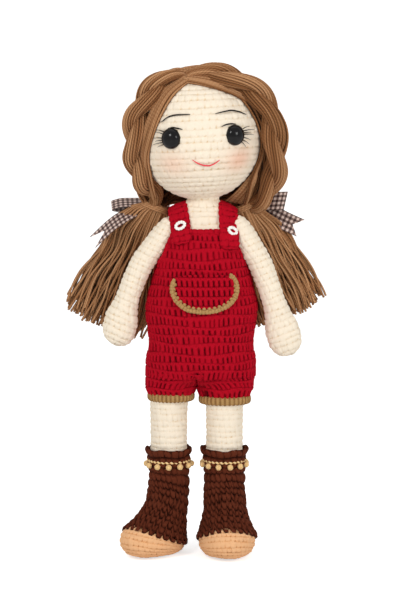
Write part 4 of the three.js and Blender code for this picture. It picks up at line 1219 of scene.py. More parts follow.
    def button(self, side: Side) -> None:
        """Sew a white yarn ring on a strap: a rope of loops round an oval, set at a slant.

        Args:
            side: which strap.
        """
        x, rise, slant_deg = side.pick(*self.buttons)
        slant = math.radians(slant_deg)
        turn = np.linspace(0, 2 * np.pi, 97)[:, None]
        spot, right, above = self.front(np.array([x, x + 1, x]), np.array([rise, rise, rise + 1]), self.cloth)
        right, above = unit(right - spot), unit(above - spot)
        out = np.cross(right, above)
        far = right * math.cos(slant) + above * math.sin(slant)
        long, short = self.button_half
        path = (spot + out * self.button_lift + far * long * np.cos(turn)
                + np.cross(out, far) * short * np.sin(turn))
        links = 1 + 0.12 * np.cos(12 * turn[:, 0])
        # Painted shade: lighter on each swollen link, darker in the narrows between links
        grid = plain(sweep(path, out, links, 0.9 * links, 14), (0.7 + 1.5 * (links - 1))[:, None])
        build("button_ring_" + side.tag, [grid], WHITE, "torso", "button_" + side.tag)

    def pocket(self) -> None:
        """Sew on the half-moon pocket: a patch worked in rows, and a tan edging round its curve."""
        build("pocket_patch", [self.patch()], RED, "torso", "pocket")
        build("pocket_braid", self.edging(), TAN, "torso", "pocket_edging")

    def patch(self) -> Grid:
        """Work the pocket's patch, which spans a half-moon and bends in to the trunk at its sides.

        It runs from a top that bows up a little down to a superellipse, in rows of tall stitches.

        Returns:
            The patch.
        """
        share = np.linspace(-1, 1, 150)
        down = np.linspace(1, 0, 90)[:, None]
        drop = np.clip(1 - np.abs(share) ** self.pocket_round, 0.0004, 1) ** (1 / self.pocket_round)
        rise = self.pocket_rise - self.pocket_depth * drop * down + 2.0 * (1 - share ** 2) * (1 - down)
        x = np.broadcast_to(self.pocket_half * share + self.pocket_x, rise.shape)
        base = self.front(x, rise, self.cloth + 1.7)
        form, kinds = Stitch.TALL.value, 64
        across, up = x / form.width, (rise - self.pocket_rise) / form.height
        column, row = np.floor(across), np.floor(up)
        rng = np.random.default_rng(RNG_SEED + 8)
        tint = rng.random((kinds, kinds))[row.astype(int) % kinds, column.astype(int) % kinds]
        height = Stitch.TALL.relief_shade(across - column, up - row)
        tuck = 1.8 * (1 - ease(1 - np.abs(share), 0.0, 0.10)) + 1.2 * (1 - ease(1 - down, 0.0, 0.06))
        points = base + normals(base, False) * (form.depth * (height - 0.75) - tuck)[..., None]
        return Grid(points, {"relief_shade": height, "tint": tint}, stacked(across, up), wrap=False)

    def edging(self) -> list[Grid]:
        """Run the pocket's edging: a cord along its curve, with shell stitches on its inner side.

        Returns:
            The cord and the shells, which are balls four millimetres apart.
        """
        x, rise = np.array(self.pocket_curve).T
        path = spline(self.front(x, rise, self.cloth + 1.5), 240)
        t = np.linspace(0, 1, len(path))
        end = np.clip(np.minimum(t, 1 - t) / 0.03, 0.25, 1) ** 0.5
        base = sweep(path, FRONT, 1.35 * end, 1.2 * end, 22, 0.9)
        cord = crochet(base, Stitch.FIRM, seed=7, scale=0.6, level=0.7, closed=True)
        outward, _ = frames(path, FRONT)
        form = ball(8, 12, 0.2)
        # Painted light and shade: each shell is lighter on top and darker underneath
        return [cord, *(plain(form * self.shell + path[k] - outward[k] * 1.6, 0.72 + 0.3 * form[..., 2], closed=True)
                        for k in range(12, 236, 11))]


@dataclass
class Arm:
    """A stuffed arm that tapers to the wrist and swells to a rounded mitten hand.

    sections holds distances along the arm from the shoulder with half-widths and half-depths; tuck and bend are
    how far the shoulder and the hand come in towards the body.
    """

    side: Side
    tilt_deg: float
    tuck: float
    bend: float = 2.2
    length_share: float = 1.0
    shoulder: Triple = (28.2, -6.0, 221.0)
    set_over: float = -0.2
    sections: Table = (
        (-6.5, 0.6, 0.6), (-5.8, 3.4, 3.4), (-4, 5.4, 5.4), (1, 7.2, 7.2), (9, 8.0, 8.0), (27.6, 7.7, 7.7),
        (53, 7.4, 7.4), (64, 8.7, 7.7), (73.6, 11.0, 8.4), (81, 11.1, 8.4), (87.4, 9.2, 7.0), (91, 5.4, 4.6),
        (92.6, 0.6, 0.6))

    def build(self) -> None:
        """Work the arm in rounds from the hand to the shoulder: ellipses along a line that bends in to the body."""
        s, tag = self.side.sign, self.side.tag
        along = np.linspace(self.sections[-1][0], self.sections[0][0], 190)[:, None]
        wide, deep = curve(self.sections, along[:, 0]).T[..., None]
        along = along * self.length_share
        turn = turns(112)
        inward = -s * (self.tuck * (1 - ease(along, -6, 34)) + self.bend * ease(along, 40, 92))
        base = stacked(inward + wide * np.cos(turn), deep * np.sin(turn), -along)
        grid = crochet(base, Stitch.SINGLE, seed=10 + int(s), scale=0.88, closed=True)
        shoulder = np.array(self.shoulder) * self.side.mirror + [self.set_over, 0, 0]
        grid.points = grid.points @ turning(-s * self.tilt_deg).T + shoulder
        grid.values["blush"] = np.zeros(grid.points.shape[:2])
        piece = build("arm_" + tag, [grid], SKIN, "arm_" + tag, "arm_cover_" + tag, "arm_stuffing_" + tag)


@dataclass
class Leg:
    """A stuffed leg with the red shorts leg of the overalls and its tan cuff.

    cuff_lows and shorts_halves hold the left and the right leg's values: the cuff is a little higher on the
    doll's right and the shorts leg a little fuller on its left.
    """

    side: Side
    torso: Torso
    spacing: float = 37.0
    leg_half: float = 12.0
    shorts_halves: Pair = (19.2, 17.5)
    shorts_deep: float = 15.8
    shorts_taper: float = 2.4
    shorts_arc: float = 0.70 * np.pi
    cuff_lows: Pair = (101.2, 103.2)
    cuff_height: float = 4.4
    cuff_thick: float = 1.7
    cuff_inset: Pair = (3.9, 3.0)
    cuff_ribs: int = 34
    joint_top: float = 123.0
    cover_top: float = 113.0
    boot_top: float = 60.0

    @property
    def cuff_low(self) -> float:
        """The cuff's lower edge."""
        return self.side.pick(*self.cuff_lows)

    @property
    def shorts_wide(self) -> float:
        """Half the shorts leg's width."""
        return self.side.pick(*self.shorts_halves)

    @property
    def shorts_x(self) -> float:
        """The shorts leg's middle, measured outwards from the crotch, which it passes a little."""
        return self.shorts_wide - 0.5

    @property
    def x(self) -> float:
        """The leg's middle across."""
        return self.torso.crotch_x + self.side.sign * self.spacing / 2

    def build(self) -> None:
        """Make the shorts leg, its cuff and the leg."""
        self.shorts()
        self.cuff()
        self.cover()

    def shorts(self) -> None:
        """Work the shorts leg: half the trunk's section at the top runs down into the leg's oval.

        The top section follows the trunk's ellipse outside and a flat wall at the crotch inside; a point
        goes from it to the place on the oval below it by a smooth step of its height.
        """
        s, tag, arc, torso = self.side.sign, self.side.tag, self.shorts_arc, self.torso
        cuff_top = self.cuff_low + self.cuff_height
        z = np.linspace(cuff_top - 0.6, self.joint_top, 64)[:, None]
        turn = np.pi * (2 * np.arange(240) / 240 - 1)
        rise = z[:, 0] - HIP_HEIGHT
        wide, deep = (torso.half(rise) + torso.cloth).T
        reach = np.abs(torso.shift(rise) + s * wide - torso.crotch_x)
        bend = np.clip(turn / arc, -1, 1) * np.pi / 2
        wall = np.clip((np.pi - np.abs(turn)) / (np.pi - arc), 0, 1)
        out_x = (reach[:, None] + 0.6) * np.cos(bend) - 0.6
        out_y = deep[:, None] * np.sin(bend) * wall
        taper = self.shorts_taper * (1 - ease(z, 104.5, 113))
        level = np.clip((out_x.mean(axis=0) - self.shorts_x) / self.shorts_wide, -1, 1)
        angle = np.sign(turn) * np.where(np.abs(turn) < arc, 0.8 * np.arccos(level), np.pi * (1 - 0.2 * wall))
        leg_x = self.shorts_x + (self.shorts_wide - taper) * np.cos(angle)
        leg_y = (self.shorts_deep - taper) * np.sin(angle)
        down = 1 - ease(z, 110.5, 124.0)
        tuck = ease(z, 119.5, 122.5)
        x = torso.crotch_x + s * ((1 - down) * out_x + down * leg_x - tuck * np.cos(bend))
        y = (1 - down) * out_y + down * leg_y - tuck * np.sin(bend)
        grid = crochet(stacked(x, y, z), Stitch.TALL, seed=20 + int(s), columns=True)
        piece = build("shorts_" + tag, [grid], RED, None, "shorts_leg_" + tag)
        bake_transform(piece)

    def cuff(self) -> None:
        """Work the cuff as a rounded band of short upright ribs round the leg's oval."""
        turn = np.linspace(0, 2 * np.pi, 301)
        middle = self.torso.crotch_x + self.side.sign * self.shorts_x
        wide, deep = self.shorts_wide - self.cuff_inset[0], self.shorts_deep - self.cuff_inset[1]
        path = stacked(middle + wide * np.cos(turn), deep * np.sin(turn), self.cuff_low + self.cuff_height / 2)
        out = stacked(np.cos(turn), np.sin(turn), 0.0)
        base = sweep(path, out, self.cuff_height / 2 + 0.3, self.cuff_thick, 20, 0.8)
        ribs = 0.5 + 0.5 * np.cos(turn * self.cuff_ribs)[:, None]
        grid = crochet(base, Stitch.FIRM, seed=24)
        # Painted shade: darker in the grooves between the ribs
        grid.values["relief_shade"] = np.broadcast_to(0.25 + 0.75 * ribs, base.shape[:2])
        grid.points = base + normals(base) * (-0.55 * (1 - ribs))[..., None]
        tag = self.side.tag
        build("cuff_" + tag, [grid], TAN, "leg_" + tag, "shorts_cuff_" + tag)

    def cover(self) -> None:
        """Work the leg in rounds: a tube that widens a little up to the shorts and narrows into the boot."""
        z = np.linspace(self.boot_top, self.cover_top, 92)[:, None]
        half = self.leg_half - 1.4 * (1 - ease(z, 64, 71)) + 0.5 * ease(z, 90, 106)
        turn = turns(150, SEAM)
        base = stacked(self.x + half * np.cos(turn), half * np.sin(turn), z)
        grid = crochet(base, Stitch.SINGLE, seed=26 + int(self.side.sign), scale=0.8, closed=True)
        grid.values["blush"] = np.zeros(grid.points.shape[:2])
        tag = self.side.tag
        piece = build("leg_" + tag, [grid], SKIN, "leg_" + tag, "leg_cover_" + tag, "leg_stuffing_" + tag)


@dataclass
class Boot:
    """A crochet boot: apricot sole and toe, chocolate upper, flared rim and a gold pom-pom braid.

    profile holds, from the sole's edge up, a share of the way with the front's reach and height, the back's
    reach and height, and the half-width; sole_front and sole_back are shares where the sole ends; rim_line
    holds a share of the rim's wall, which turns over at its top, with its reach and height.
    """

    side: Side
    x: float
    toe_out_deg: float
    set_over: float
    profile: Table = (
        (0.00, 23.0, 0.4, -5.5, 0.4, 9.5), (0.05, 30.4, 1.8, -10.2, 1.4, 14.4),
        (0.10, 34.8, 5.0, -12.8, 3.4, 17.2), (0.16, 36.9, 10.0, -13.8, 6.0, 18.6),
        (0.22, 36.4, 15.0, -13.9, 8.6, 18.8), (0.29, 32.2, 19.6, -13.9, 11.4, 18.0),
        (0.37, 26.0, 23.4, -13.7, 14.8, 16.5), (0.45, 20.2, 27.4, -13.4, 19.0, 15.0),
        (0.53, 16.0, 32.2, -13.2, 24.0, 13.9), (0.61, 13.8, 37.8, -13.0, 30.5, 13.3),
        (0.71, 12.9, 44.6, -12.8, 40.0, 13.0), (0.83, 12.8, 52.6, -12.8, 51.0, 12.8),
        (1.00, 13.0, 63.5, -13.0, 63.5, 13.0))
    sole_front: float = 0.33
    sole_back: float = 0.12
    floor_gap: float = 0.15
    lobes: int = 24
    rim_line: Table = (
        (0, 13.2, 61.0), (0.3, 14.0, 64.0), (0.55, 14.6, 67.2), (0.75, 15.4, 69.6), (0.86, 15.5, 70.8),
        (0.93, 14.6, 70.6), (1, 13.2, 67.0))
    braid_height: float = 62.4
    chain_reach: float = 14.2
    chain_links: int = 30
    link_range: Pair = (0.12, 0.56)
    pompoms: int = 12
    pompom_half: float = 1.95
    pompom_reach: float = 15.0
    pompom_drop: float = 2.8
    pompom_rough: float = 0.12

    def form(self, share: Array, turn: Array, grow: Array) -> Array:
        """Find points of the boot: tilted ovals between the front's and the back's profile.

        Args:
            share: how far up, one per point.
            turn: angles round, 0 at the doll's left and a quarter turn at the heel.
            grow: distance outside the boot, one per row.

        Returns:
            rows x columns x 3, toe towards -y.
        """
        share, turn = np.broadcast_arrays(share, turn)
        front, front_z, back, back_z, wide = curve(self.profile, share.ravel()).T.reshape(5, *share.shape)
        lean = np.sin(turn)
        y = -((front + back) / 2 - ((front - back) / 2 + grow) * lean)
        z = (front_z + back_z) / 2 - (front_z - back_z) / 2 * lean
        return np.stack([(wide + grow) * np.cos(turn), y, z], axis=-1)

    def place(self, grid: Grid) -> Grid:
        """Turn the boot's toe outwards and stand it under the leg, its foot set over by a step of the height.

        Args:
            grid: a surface of the boot that points straight ahead.

        Returns:
            The same grid.
        """
        turn = turning(self.side.sign * self.toe_out_deg, upright=True)
        grid.points = grid.points @ turn.T + np.array([self.x, 0, 0])
        grid.points[..., 0] += self.set_over * (1 - ease(grid.points[..., 2], 10, 50))
        return grid

    def build(self) -> None:
        """Make the sole, the upper, the rim and the braid."""
        tag = self.side.tag
        body = "leg_" + tag
        turn = turns(336, SEAM)
        front = bell(turn - 1.5 * np.pi, 0.8) + 0.05
        edge = self.sole_back + (self.sole_front - self.sole_back) * (1 - np.sin(turn)) / 2
        rows = np.linspace(0, 1, 70)[:, None]
        base = self.form(rows * (edge + 0.05), turn, -1.3 * ease(rows, 0.78, 0.9))
        sole = crochet(base, Stitch.SINGLE, seed=30, scale=0.72, row_weights=front, level=0.9)
        sole.points[..., 2] = np.maximum(sole.points[..., 2], self.floor_gap)
        sole.cap_first = True
        piece = build("sole_" + tag, [self.place(sole)], SOLE, body, "boot_sole_" + tag)
        # The upper's first round hangs in lobes, with narrow slanting gaps where the sole's yarn shows
        gap = np.clip(1 - (turn * self.lobes / (2 * np.pi)) % 1 / 0.45, 0, 1)
        rows = np.linspace(0, 1, 130)[:, None]
        start = edge - 0.03 + 0.055 * gap
        base = self.form(start + (1 - start) * rows, turn, 0.4 + 0.9 * (1 - ease(rows, 0.0, 0.1)))
        upper = crochet(base, Stitch.ROPE, seed=31, row_weights=front, level=0.62)
        piece = build("boot_" + tag, [self.place(upper)], BOOT, body, "boot_upper_" + tag)
        build("rim_" + tag, [self.place(self.rim())], BOOT, body, "boot_rim_" + tag)
        braid = [self.place(grid) for grid in (self.chain(), *self.puffs())]
        build("braid_" + tag, braid, GOLD, body, "boot_braid_" + tag)

    def rim(self) -> Grid:
        """Flare the top of the boot: a wall that leans out, waves and turns over, one closed profile round.

        Returns:
            The rim.
        """
        turn = np.linspace(0, 2 * np.pi, 220, endpoint=False)
        wave = 0.5 * np.sin(5 * turn + 0.6) + 0.3 * np.sin(9 * turn)
        t = np.linspace(0, 1, 40)
        out, high = curve(self.rim_line, t).T[..., None]
        wave = wave * t[:, None]
        reach = out + wave * 0.6
        base = stacked(reach * np.cos(turn), reach * np.sin(turn), high + wave)
        return crochet(base, Stitch.ROPE, seed=32, level=0.6, scale=0.95)

    def chain(self) -> Grid:
        """Run the braid's chain round the shaft: a thin cord that narrows between its links.

        Returns:
            The chain.
        """
        turn = np.linspace(0, 2 * np.pi, 260)
        path = stacked(self.chain_reach * np.cos(turn), self.chain_reach * np.sin(turn),
                       self.braid_height + 0.25 * np.sin(turn * self.chain_links))
        thin, swell = self.link_range
        share = np.abs(np.sin(turn * self.chain_links / 2))
        links = thin + swell * share
        # Painted shade: lighter on each swollen link, darker in the narrows between links
        return plain(sweep(path, path * LEVEL, links * 1.15, links, 8), (0.3 + 0.6 * share)[:, None])

    def puffs(self) -> list[Grid]:
        """Hang pom-poms below the chain: balls whose radius is roughened by crossed waves.

        Returns:
            The pom-poms.
        """
        rings, sides, hole = 9, 12, 0.15
        rise = np.linspace(hole, np.pi - hole, rings)[:, None]
        wave = np.sin(5 * turns(sides) + 3 * rise) * np.sin(4 * rise)
        form = ball(rings, sides, hole) * (1 + self.pompom_rough * wave)[..., None] * self.pompom_half
        angle = 2 * np.pi * (np.arange(self.pompoms) + 0.35) / self.pompoms
        spots = stacked(self.pompom_reach * np.cos(angle), self.pompom_reach * np.sin(angle),
                        self.braid_height - self.pompom_drop)
        # Painted shade: lighter on the bumps of each pom-pom, darker in the dips between them
        return [plain(form + spot, 0.62 + 0.3 * wave, 0.5, closed=True) for spot in spots]


@dataclass
class Hair:
    """Brown yarn hair: a cap parted off the middle, and at each side a fringe and a twisted lock to a tie.

    Fields in pairs hold the left and the right side's values. cap_fronts are where the cap starts on the part, in
    degrees from the crown, cap_lifts how far its two layers lie off the head and cap_spread how far its strands
    part at the tie; fringe_counts how many strands lie side by side and fringe_backs how many strands'
    room they are set back by; lock_lifts how far a lock stands off the head along its course; and band_half the
    tie's half-sizes and height.
    """

    head: Head
    yarn: float = 0.85
    part_deg: float = 11.0
    cap_strands: int = 98
    cap_fronts: Pair = (-20.5, -26.0)
    cap_back: float = 147.0
    cap_lifts: Pair = (1.4, 2.7)
    cap_spread: Triple = (4.2, 3.0, 0.8)
    fringe_lift: float = 1.7
    fringe_counts: tuple[int, int] = (12, 7)
    fringe_backs: Pair = (3.5, 0.0)
    fringe_pitch: float = 1.3
    tuck_strands: int = 18
    lock_halves: Pair = (8.4, 8.6)
    lock_turns: float = 2.4
    lock_starts: Pair = (-0.4, 1.4)
    lock_ends: Pair = (144.0, 139.0)
    lock_lifts: Table = (
        (-2.5, 0.8, 4.2, 10.4, 10.8, 14.2, 17.5), (-0.8, 3.6, 5.0, 5.2, 4.3, 6.2, 8.6))
    lock_strands: int = 17
    band_turns: int = 3
    band_half: Triple = (8.8, 7.0, 3.6)

    def tie(self, side: Side) -> Array:
        """Find a side's tie on the upright head, from its swing joint."""
        return self.head.lean(joint_spot("pigtail_swing_" + side.tag), -1.0)

    def grown(self, turn_deg: Array, lift: Array, y: Array) -> Array:
        """Find points on the left of the head: its ellipsoid grown by lifts, cut at places y and read at turns.

        Args:
            turn_deg: turns from the crown.
            lift: distances off the head.
            y: places from front to back.

        Returns:
            n x 3 points of the upright head.
        """
        wide, deep, tall = (h + lift for h in self.head.half)
        level = np.sqrt(1 - (y / deep) ** 2)
        turn = np.radians(turn_deg)
        return stacked(wide * level * np.sin(turn), y, self.head.centre[2] + tall * level * np.cos(turn))

    def over(self, side: Side, stations: list[Triple], count: int) -> Array:
        """Run a curve over the upright head and on to the side's tie.

        Args:
            side: which side.
            stations: turns from the crown in degrees, lifts off the head and places y.
            count: points to give.

        Returns:
            count x 3.
        """
        points = self.grown(*np.array(stations, float).T) * side.mirror
        return spline(np.concatenate([points, self.tie(side)[None]]), count)

    def build(self) -> None:
        """Make the cap, and each side's fringe, lock and tie."""
        cap = [grid for side in Side for grid in self.cap(side)]
        build("hair_cap_yarn", self.leaned(cap), HAIR, "head", "hair_cap")
        for side in Side:
            tag = side.tag
            build("hair_fringe_" + tag, self.leaned(self.fringe(side)), HAIR, "head", "fringe_" + tag)
            build("hair_twist_" + tag, self.leaned(self.lock(side)), HAIR, "head", "twist_" + tag)
            build("hair_band_" + tag, self.leaned(self.band(side)), HAIR, "head", "hair_tie_" + tag)

    def leaned(self, grids: list[Grid]) -> list[Grid]:
        """Lean grids with the head.

        Args:
            grids: grids of the upright head.

        Returns:
            The same grids.
        """
        for grid in grids:
            grid.points = self.head.lean(grid.points)
        return grids

    def cap(self, side: Side) -> list[Grid]:
        """Comb the yarn from the part to the tie in two layers over an underlay painted dark as the shade beneath
        them.

        Each strand follows the great circle from its place on the part to the tie's direction, close to the
        head, and leaves it near the end to gather in the tie.

        Args:
            side: which side.

        Returns:
            The underlay and the strands.
        """
        rng = np.random.default_rng(RNG_SEED + 40 + int(side.sign))
        t = np.linspace(0, 1, 36)
        goal = self.tie(side) - self.head.centre
        end = unit(goal)
        free = np.linalg.norm(goal) - self.head.reach(end)

        def combed(back: Array, lift: Array | float) -> Array:
            """Lay strands from shares of the part.

            Args:
                back: how far back on the part each starts.
                lift: how far off the head it lies.

            Returns:
                strands x points x 3.
            """
            first = side.pick(*self.cap_fronts)
            pitch = np.radians(first + (self.cap_back - first) * back)
            over = -0.19 * (1 - ease(back, 0.2, 0.8)) - 0.045 * side.sign
            start = unit(stacked(over, np.sin(pitch), np.cos(pitch)))
            angle = np.arccos(np.clip(start @ end, -1, 1))[:, None]
            near, away = np.sin((1 - t) * angle) / np.sin(angle), np.sin(t * angle) / np.sin(angle)
            ways = near[..., None] * start[:, None] + away[..., None] * end
            hang = lift + 8 * ease(back, 0.78, 1.0)
            rise = hang[:, None] * ease(t, -0.2, 0.05) * (1 - ease(t, 0.7, 1.0)) + free * ease(t, 0.68, 1.02)
            return self.head.surface(ways, rise)

        count = self.cap_strands
        even = np.linspace(0, 1, count)
        # Painted shade: a dark underlay just off the head shows as shade between the strands
        shade_underlay = combed(even, 0.9).transpose(1, 0, 2)
        made = [plain(side.pick(shade_underlay[:, ::-1], shade_underlay), 0.3, wrap=False)]
        for layer, lift in enumerate(self.cap_lifts):
            back = np.clip(even + (rng.random(count) - 0.5) * 0.006 + 0.5 * layer / count, 0, 1)
            paths = combed(back, lift + 0.5 * (rng.random(count) - 0.5))
            spread = rng.uniform(-1, 1, (count, 1, 3)) * np.array(self.cap_spread)
            sway = rng.uniform(-0.5, 0.5, (count, 1, 3))
            sway = sway * np.sin(np.pi * 3 * t + 6 * rng.random((count, 1)))[..., None]
            paths = paths + spread * ease(t, 0.6, 1.0)[:, None] + sway * ease(t, 0, 0.2)[:, None]
            made += strands(paths, paths - self.head.centre, self.yarn, rng.random(count))
        return made

    def fringe(self, side: Side) -> list[Grid]:
        """Lay the fringe along the hairline: parallel strands on the head beside a curve over it.

        Args:
            side: which side.

        Returns:
            The strands, in two layers.
        """
        rng = np.random.default_rng(RNG_SEED + 50 + int(side.sign))
        part, lift = 5 - side.sign * self.part_deg, self.fringe_lift
        if side is Side.LEFT:
            stations = [(part - 6, lift, -20), (part + 18, lift, -24.5), (48, lift, -20.5), (68, lift, -12.5),
                        (88, lift, -8.5), (110, lift, -6), (128, lift + 1.5, -3), (139, 8.0, 2)]
        else:
            stations = [(part - 6, lift, -20), (part + 18, lift, -25), (60, lift, -27.6), (84, lift, -26),
                        (104, lift, -19.5), (122, lift + 1, -11), (137, 8.0, 1)]
        path, middle = self.over(side, stations, 64), self.head.centre
        t = np.linspace(0, 1, len(path))
        across, _ = frames(path, path - middle)
        count, pitch = side.pick(*self.fringe_counts), self.fringe_pitch
        widen = 0.8 + 0.2 * ease(t, 0, 0.2) - 0.45 * ease(t, 0.75, 1)
        back = side.pick(*self.fringe_backs) * pitch * np.sign(across[8, 1]) * (1 - ease(t, 0.58, 0.88))
        off = np.linalg.norm(path - middle, axis=-1) - self.head.reach(path - middle)
        made = []
        for layer, up in enumerate((-0.5, 0.7)):
            offset = (np.arange(count) - (count - 1) / 2 + 0.5 * layer) * pitch + rng.normal(0, 0.15, count)
            wave = 0.35 * np.sin(2 * np.pi * (2 * t + rng.random((count, 1))))
            paths = path + across * ((offset[:, None] + back + wave) * widen)[..., None]
            paths = self.head.surface(paths - middle, off + up)
            made += strands(paths, paths - middle, self.yarn, rng.random(count))
        return side.pick(made + self.tucked(), made)

    def tucked(self) -> list[Grid]:
        """Draw strands in from under the left fringe, below the cheek and behind the strap.

        Each runs over the head's grown ellipsoid and leaves it for its own place beside the tie.

        Returns:
            The strands.
        """
        rng = np.random.default_rng(RNG_SEED + 55)
        paths = []
        for inward in np.linspace(0, 1, self.tuck_strands):
            away = 1 - inward
            turn = np.array([98, 120, 142 - 11 * away])
            lift = np.array([0.4, 1.2 + 0.6 * away, 1.8 + 3.7 * away]) + rng.uniform(-0.3, 0.3)
            on_head = self.grown(turn, lift, np.array([-4.0, -6.5, -4.0]) + 2 * inward)
            end = np.array([15.0 + 10 * away, 8.5, 233.0 - 2 * away])
            paths.append(spline(np.concatenate([on_head, end[None]]), 30))
        return strands(np.array(paths), np.array([0.3, -1.0, 0.0]), self.yarn, rng.random(self.tuck_strands))

    def lock(self, side: Side) -> list[Grid]:
        """Twist two bundles of yarn round each other along a curve beside the fringe.

        Each bundle's middle circles the curve, half a turn from the other, and its strands circle the
        bundle's middle the other way at a slower rate.

        Args:
            side: which side.

        Returns:
            The bundles' cores, painted near black as the shade inside them, and their strands.
        """
        rng = np.random.default_rng(RNG_SEED + 60 + int(side.sign))
        part, count = 2 - side.sign * self.part_deg, self.lock_strands
        courses = (part - 8, part + 6, part + 27, 68, 96, 120, side.pick(*self.lock_ends))
        depths = (-11, -15, -19, -18.5, -15, -6, 8)
        path = self.over(side, list(zip(courses, side.pick(*self.lock_lifts), depths)), 120)
        t = np.linspace(0, 1, len(path))
        across, out = frames(path, path - self.head.centre)
        swell = curve(((0, 0.2), (0.08, 0.6), (0.26, 1.0), (0.72, 1.0), (0.9, 0.84), (1, 0.6)), t)[:, 0]
        half = side.pick(*self.lock_halves) * swell
        phase = side.sign * 2 * np.pi * self.lock_turns * t
        made = []
        for bundle in (0, 1):
            a = phase + np.pi * bundle + side.pick(*self.lock_starts)
            ring = across * np.cos(a)[:, None] + out * (0.85 * np.sin(a))[:, None]
            middle = path + ring * (0.46 * half)[:, None]
            side_on, face_on = frames(middle, out)
            # Painted shade: a near-black core inside each bundle stands for the shade between its strands
            made.append(plain(sweep(middle, out, 0.44 * half, 0.44 * half, 10), 0.05, closed=True))
            spin = turns(count)[:, None] - 0.35 * phase
            wide = half * (0.52 + 0.035 * rng.normal(0, 1, (count, 1)))
            paths = middle + side_on * (np.cos(spin) * wide)[..., None] + face_on * (np.sin(spin) * wide)[..., None]
            tubes = strands(paths, paths - middle, self.yarn, rng.random(count))
            # Painted shade: strands between the lock's bundles are darker than those on top of it
            stand = ((paths - path) * out).sum(-1) / half
            for tube, high in zip(tubes, stand):
                tube.values["relief_shade"] = tube.values["relief_shade"] * (0.8 + 0.35 * np.clip(high, -0.8, 1))[:, None]
            made += tubes
        return made

    def band(self, side: Side) -> list[Grid]:
        """Wind the tie: turns of yarn round the gathered hair.

        Args:
            side: which side.

        Returns:
            One tube.
        """
        t = np.linspace(0, 1, 120)[:, None]
        turn = 2 * np.pi * self.band_turns * t
        wide, deep, high = self.band_half
        across, depth, down = np.array([[0.92, 0, side.sign * 0.4], [0, 1, 0], [side.sign * 0.4, 0, -0.92]])
        path = (self.tie(side) + across * np.cos(turn) * wide + depth * np.sin(turn) * deep
                + down * (t - 0.5) * high)
        return strands(path[None], path - self.tie(side), self.yarn, np.array([0.7]), 6)


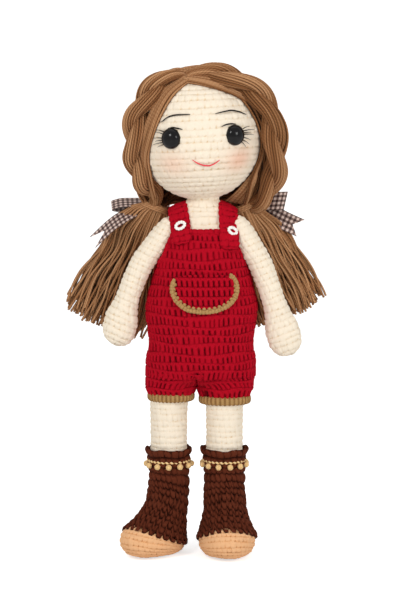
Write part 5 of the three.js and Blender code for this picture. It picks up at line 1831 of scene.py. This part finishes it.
@dataclass
class Pigtail:
    """A loose pigtail below its tie, which fans out and ends raggedly, and its gingham bow.

    sections holds, by the share of the length, the reach outwards and inwards and the share of the depth;
    fullness, gather and flare add to the reach: outwards and inwards near the tie, and outwards lower down.
    check_start is where the check's repeat stands at the ribbon's middle, so that a dark band runs along it, and
    notches how deep the left and the right tail are cut, the hidden ones as the left.
    """

    side: Side
    length: float
    tilt_deg: float = 23.5
    depth_half: float = 8.5
    set_back: float = 11.0
    fullness: float = 1.0
    gather: float = 0.0
    flare: float = 0.0
    count: int = 250
    yarn: float = 0.8
    ribbon: float = 12.5
    check_start: float = 20.0
    knot_from_tie: Triple = (0.0, 10.8, 2.0)
    knot_half: Pair = (3.6, 4.2)
    notches: Pair = (6.0, 12.0)
    sections: Table = (
        (0, 7.8, 7.8, 0.72), (0.1, 10.5, 8.4, 0.82), (0.28, 18.5, 12.5, 0.95), (0.6, 23, 21, 1),
        (0.86, 25, 29, 1), (1.1, 26, 30, 1))

    @property
    def pivot(self) -> Array:
        """The tie in the doll's frame, from the swing joint."""
        return joint_spot("pigtail_swing_" + self.side.tag)

    def build(self) -> None:
        """Make the pigtail and its bow."""
        tag = self.side.tag
        build("pigtail_yarn_" + tag, self.tuft(), HAIR, "pigtail_" + tag, "pigtail_" + tag)
        self.bow()

    def tuft(self) -> list[Grid]:
        """Fan strands out below the tie: each keeps its place in the section, waves a little and ends unevenly.

        Returns:
            The strands.
        """
        rng = np.random.default_rng(RNG_SEED + 70 + int(self.side.sign))
        k, one_each = np.arange(self.count), (self.count, 1)
        radius, angle = np.sqrt((k + 0.5) / self.count), k * (np.pi * (3 - math.sqrt(5)))
        u, v = radius * np.cos(angle), radius * np.sin(angle)
        t = np.linspace(-0.03, 1, 46)
        reach = 0.9 + 0.13 * rng.random(self.count) - 0.08 * np.clip(np.abs(u) - 0.5, 0, 1)
        share = t * reach[:, None]
        outer, inner, deep = curve(self.sections, np.clip(share, 0, 1.1).ravel()).T.reshape(3, *share.shape)
        loose = ease(share, 0.1, 0.5)
        fuller = 1 + (self.fullness - 1) * ease(share, 0, 0.08) * (1 - loose)
        outer = outer * fuller + self.flare * ease(share, 0.3, 0.7)
        inner = inner + self.gather * ease(share, -0.02, 0.04) * (1 - loose)
        tilt, s = math.radians(self.tilt_deg), self.side.sign
        along = np.array([s * math.sin(tilt), 0, -math.cos(tilt)])
        out = np.array([s * math.cos(tilt), 0, math.sin(tilt)])
        wave = 1.2 * np.sin(2 * np.pi * (1.6 * share + rng.random(one_each))) * loose
        across = u[:, None] * np.where(u[:, None] > 0, outer, inner) + wave
        back = self.set_back * np.clip(share / 0.3, 0, 1) + v[:, None] * self.depth_half * deep
        back = back + 0.7 * np.sin(2 * np.pi * (1.7 * share + rng.random(one_each))) * loose
        paths = (self.pivot + along * (share * self.length)[..., None] + out * across[..., None]
                 + np.array([0, 1, 0]) * back[..., None])
        return strands(paths, np.array([0, -1, 0.1]), self.yarn, rng.random(self.count))

    def strip(self, spots: Array | list[Triple], wide: Triple, notch: float = 0.0) -> Grid:
        """Run ribbon through places beside the knot, with a notch cut into its end.

        Args:
            spots: places from the knot, outwards first.
            wide: direction across the ribbon.
            notch: depth of the swallow tail.

        Returns:
            The strip, mapped in millimetres.
        """
        path = spline(np.array(spots, float), 200)
        length = run(path)[-1]
        c = np.linspace(-1, 1, 13)
        share = np.linspace(0, 1, 60)[:, None] * (1 - notch / length * (1 - np.abs(c)))
        at = np.linspace(0, 1, len(path))
        points = np.stack([np.interp(share, at, path[:, k]) for k in range(3)], axis=-1)
        points = points + np.array(wide) * (c * self.ribbon / 2)[..., None]
        chart = stacked(c * self.ribbon / 2 + self.check_start, share * length)
        return Grid(points * self.side.mirror + self.pivot + np.array(self.knot_from_tie), {}, chart, False)

    def bow(self) -> None:
        """Tie the bow: two loops, two swallow-tailed ends and a knot, all of one ribbon."""
        if self.side is Side.LEFT:
            loop, wide = [(2, -2, 0), (14, -6, 1), (24, -8, 1.6), (27, -4.5, 1.4), (24, -1, 1), (14, 1, 0.5),
                          (2, 1, 0)], (0.22, 0.2, 0.95)
            tail, slant = [(2, 0, -1), (14, -2, -6), (26, -4, -12), (37, -5, -17)], (0.43, 0.0, 0.9)
        else:
            loop, wide = [(2, -2, 0), (14, -5, 0.4), (25, -6, -0.2), (29.4, -4.5, -2.0), (25, -2, -3.4),
                          (14, 1, -2.8), (2, 1, -1)], (0.08, 0.9, 0.42)
            tail, slant = [(2, -1, -1), (14, -8, -5), (27, -13, -12.5), (42, -15, -26)], (0.34, 0.78, 0.52)
        behind = [(0, 1, 0), (-6, 14, 1), (-9, 22, 0.5), (-6.5, 25.4, 0), (-3, 22, 0), (0, 13, 1), (1, 1, 0)]
        turn = np.linspace(0, 2 * np.pi, 13)
        knot_x, knot_y = self.knot_half
        grids = [self.strip(loop, wide), self.strip(tail, slant, self.side.pick(*self.notches)),
                 self.strip(behind, (0, 0, 1)),
                 self.strip([(0, 1, 0), (3, 7, -5), (7, 13, -16), (12, 14, -36)], (1, 0, 0), self.notches[0]),
                 self.strip(stacked(knot_x * np.cos(turn), knot_y * np.sin(turn), 0.0), (0, 0, 0.68))]
        tag = self.side.tag
        piece = build("gingham_bow_" + tag, grids, Gingham(), "pigtail_" + tag, "bow_" + tag)


def main() -> None:
    """Build the studio and the doll from the head down."""
    logging.basicConfig(level=logging.INFO, format="%(name)s: %(message)s")
    Studio().build()
    head = Head()
    head.build()
    Hair(head).build()
    Pigtail(Side.LEFT, 79.0).build()
    Pigtail(Side.RIGHT, 88.0, fullness=1.6, gather=3.4, flare=5.0).build()
    torso = Torso()
    torso.build()
    Arm(Side.LEFT, 20.0, tuck=5.5).build()
    Arm(Side.RIGHT, 24.0, tuck=7.0, bend=5.0, length_share=0.93).build()
    for side, toe_out, set_over in ((Side.LEFT, 4.0, 0.7), (Side.RIGHT, 40.0, -3.2)):
        leg = Leg(side, torso)
        leg.build()
        Boot(side, leg.x, toe_out, set_over).build()


if __name__ == "__main__":
    main()
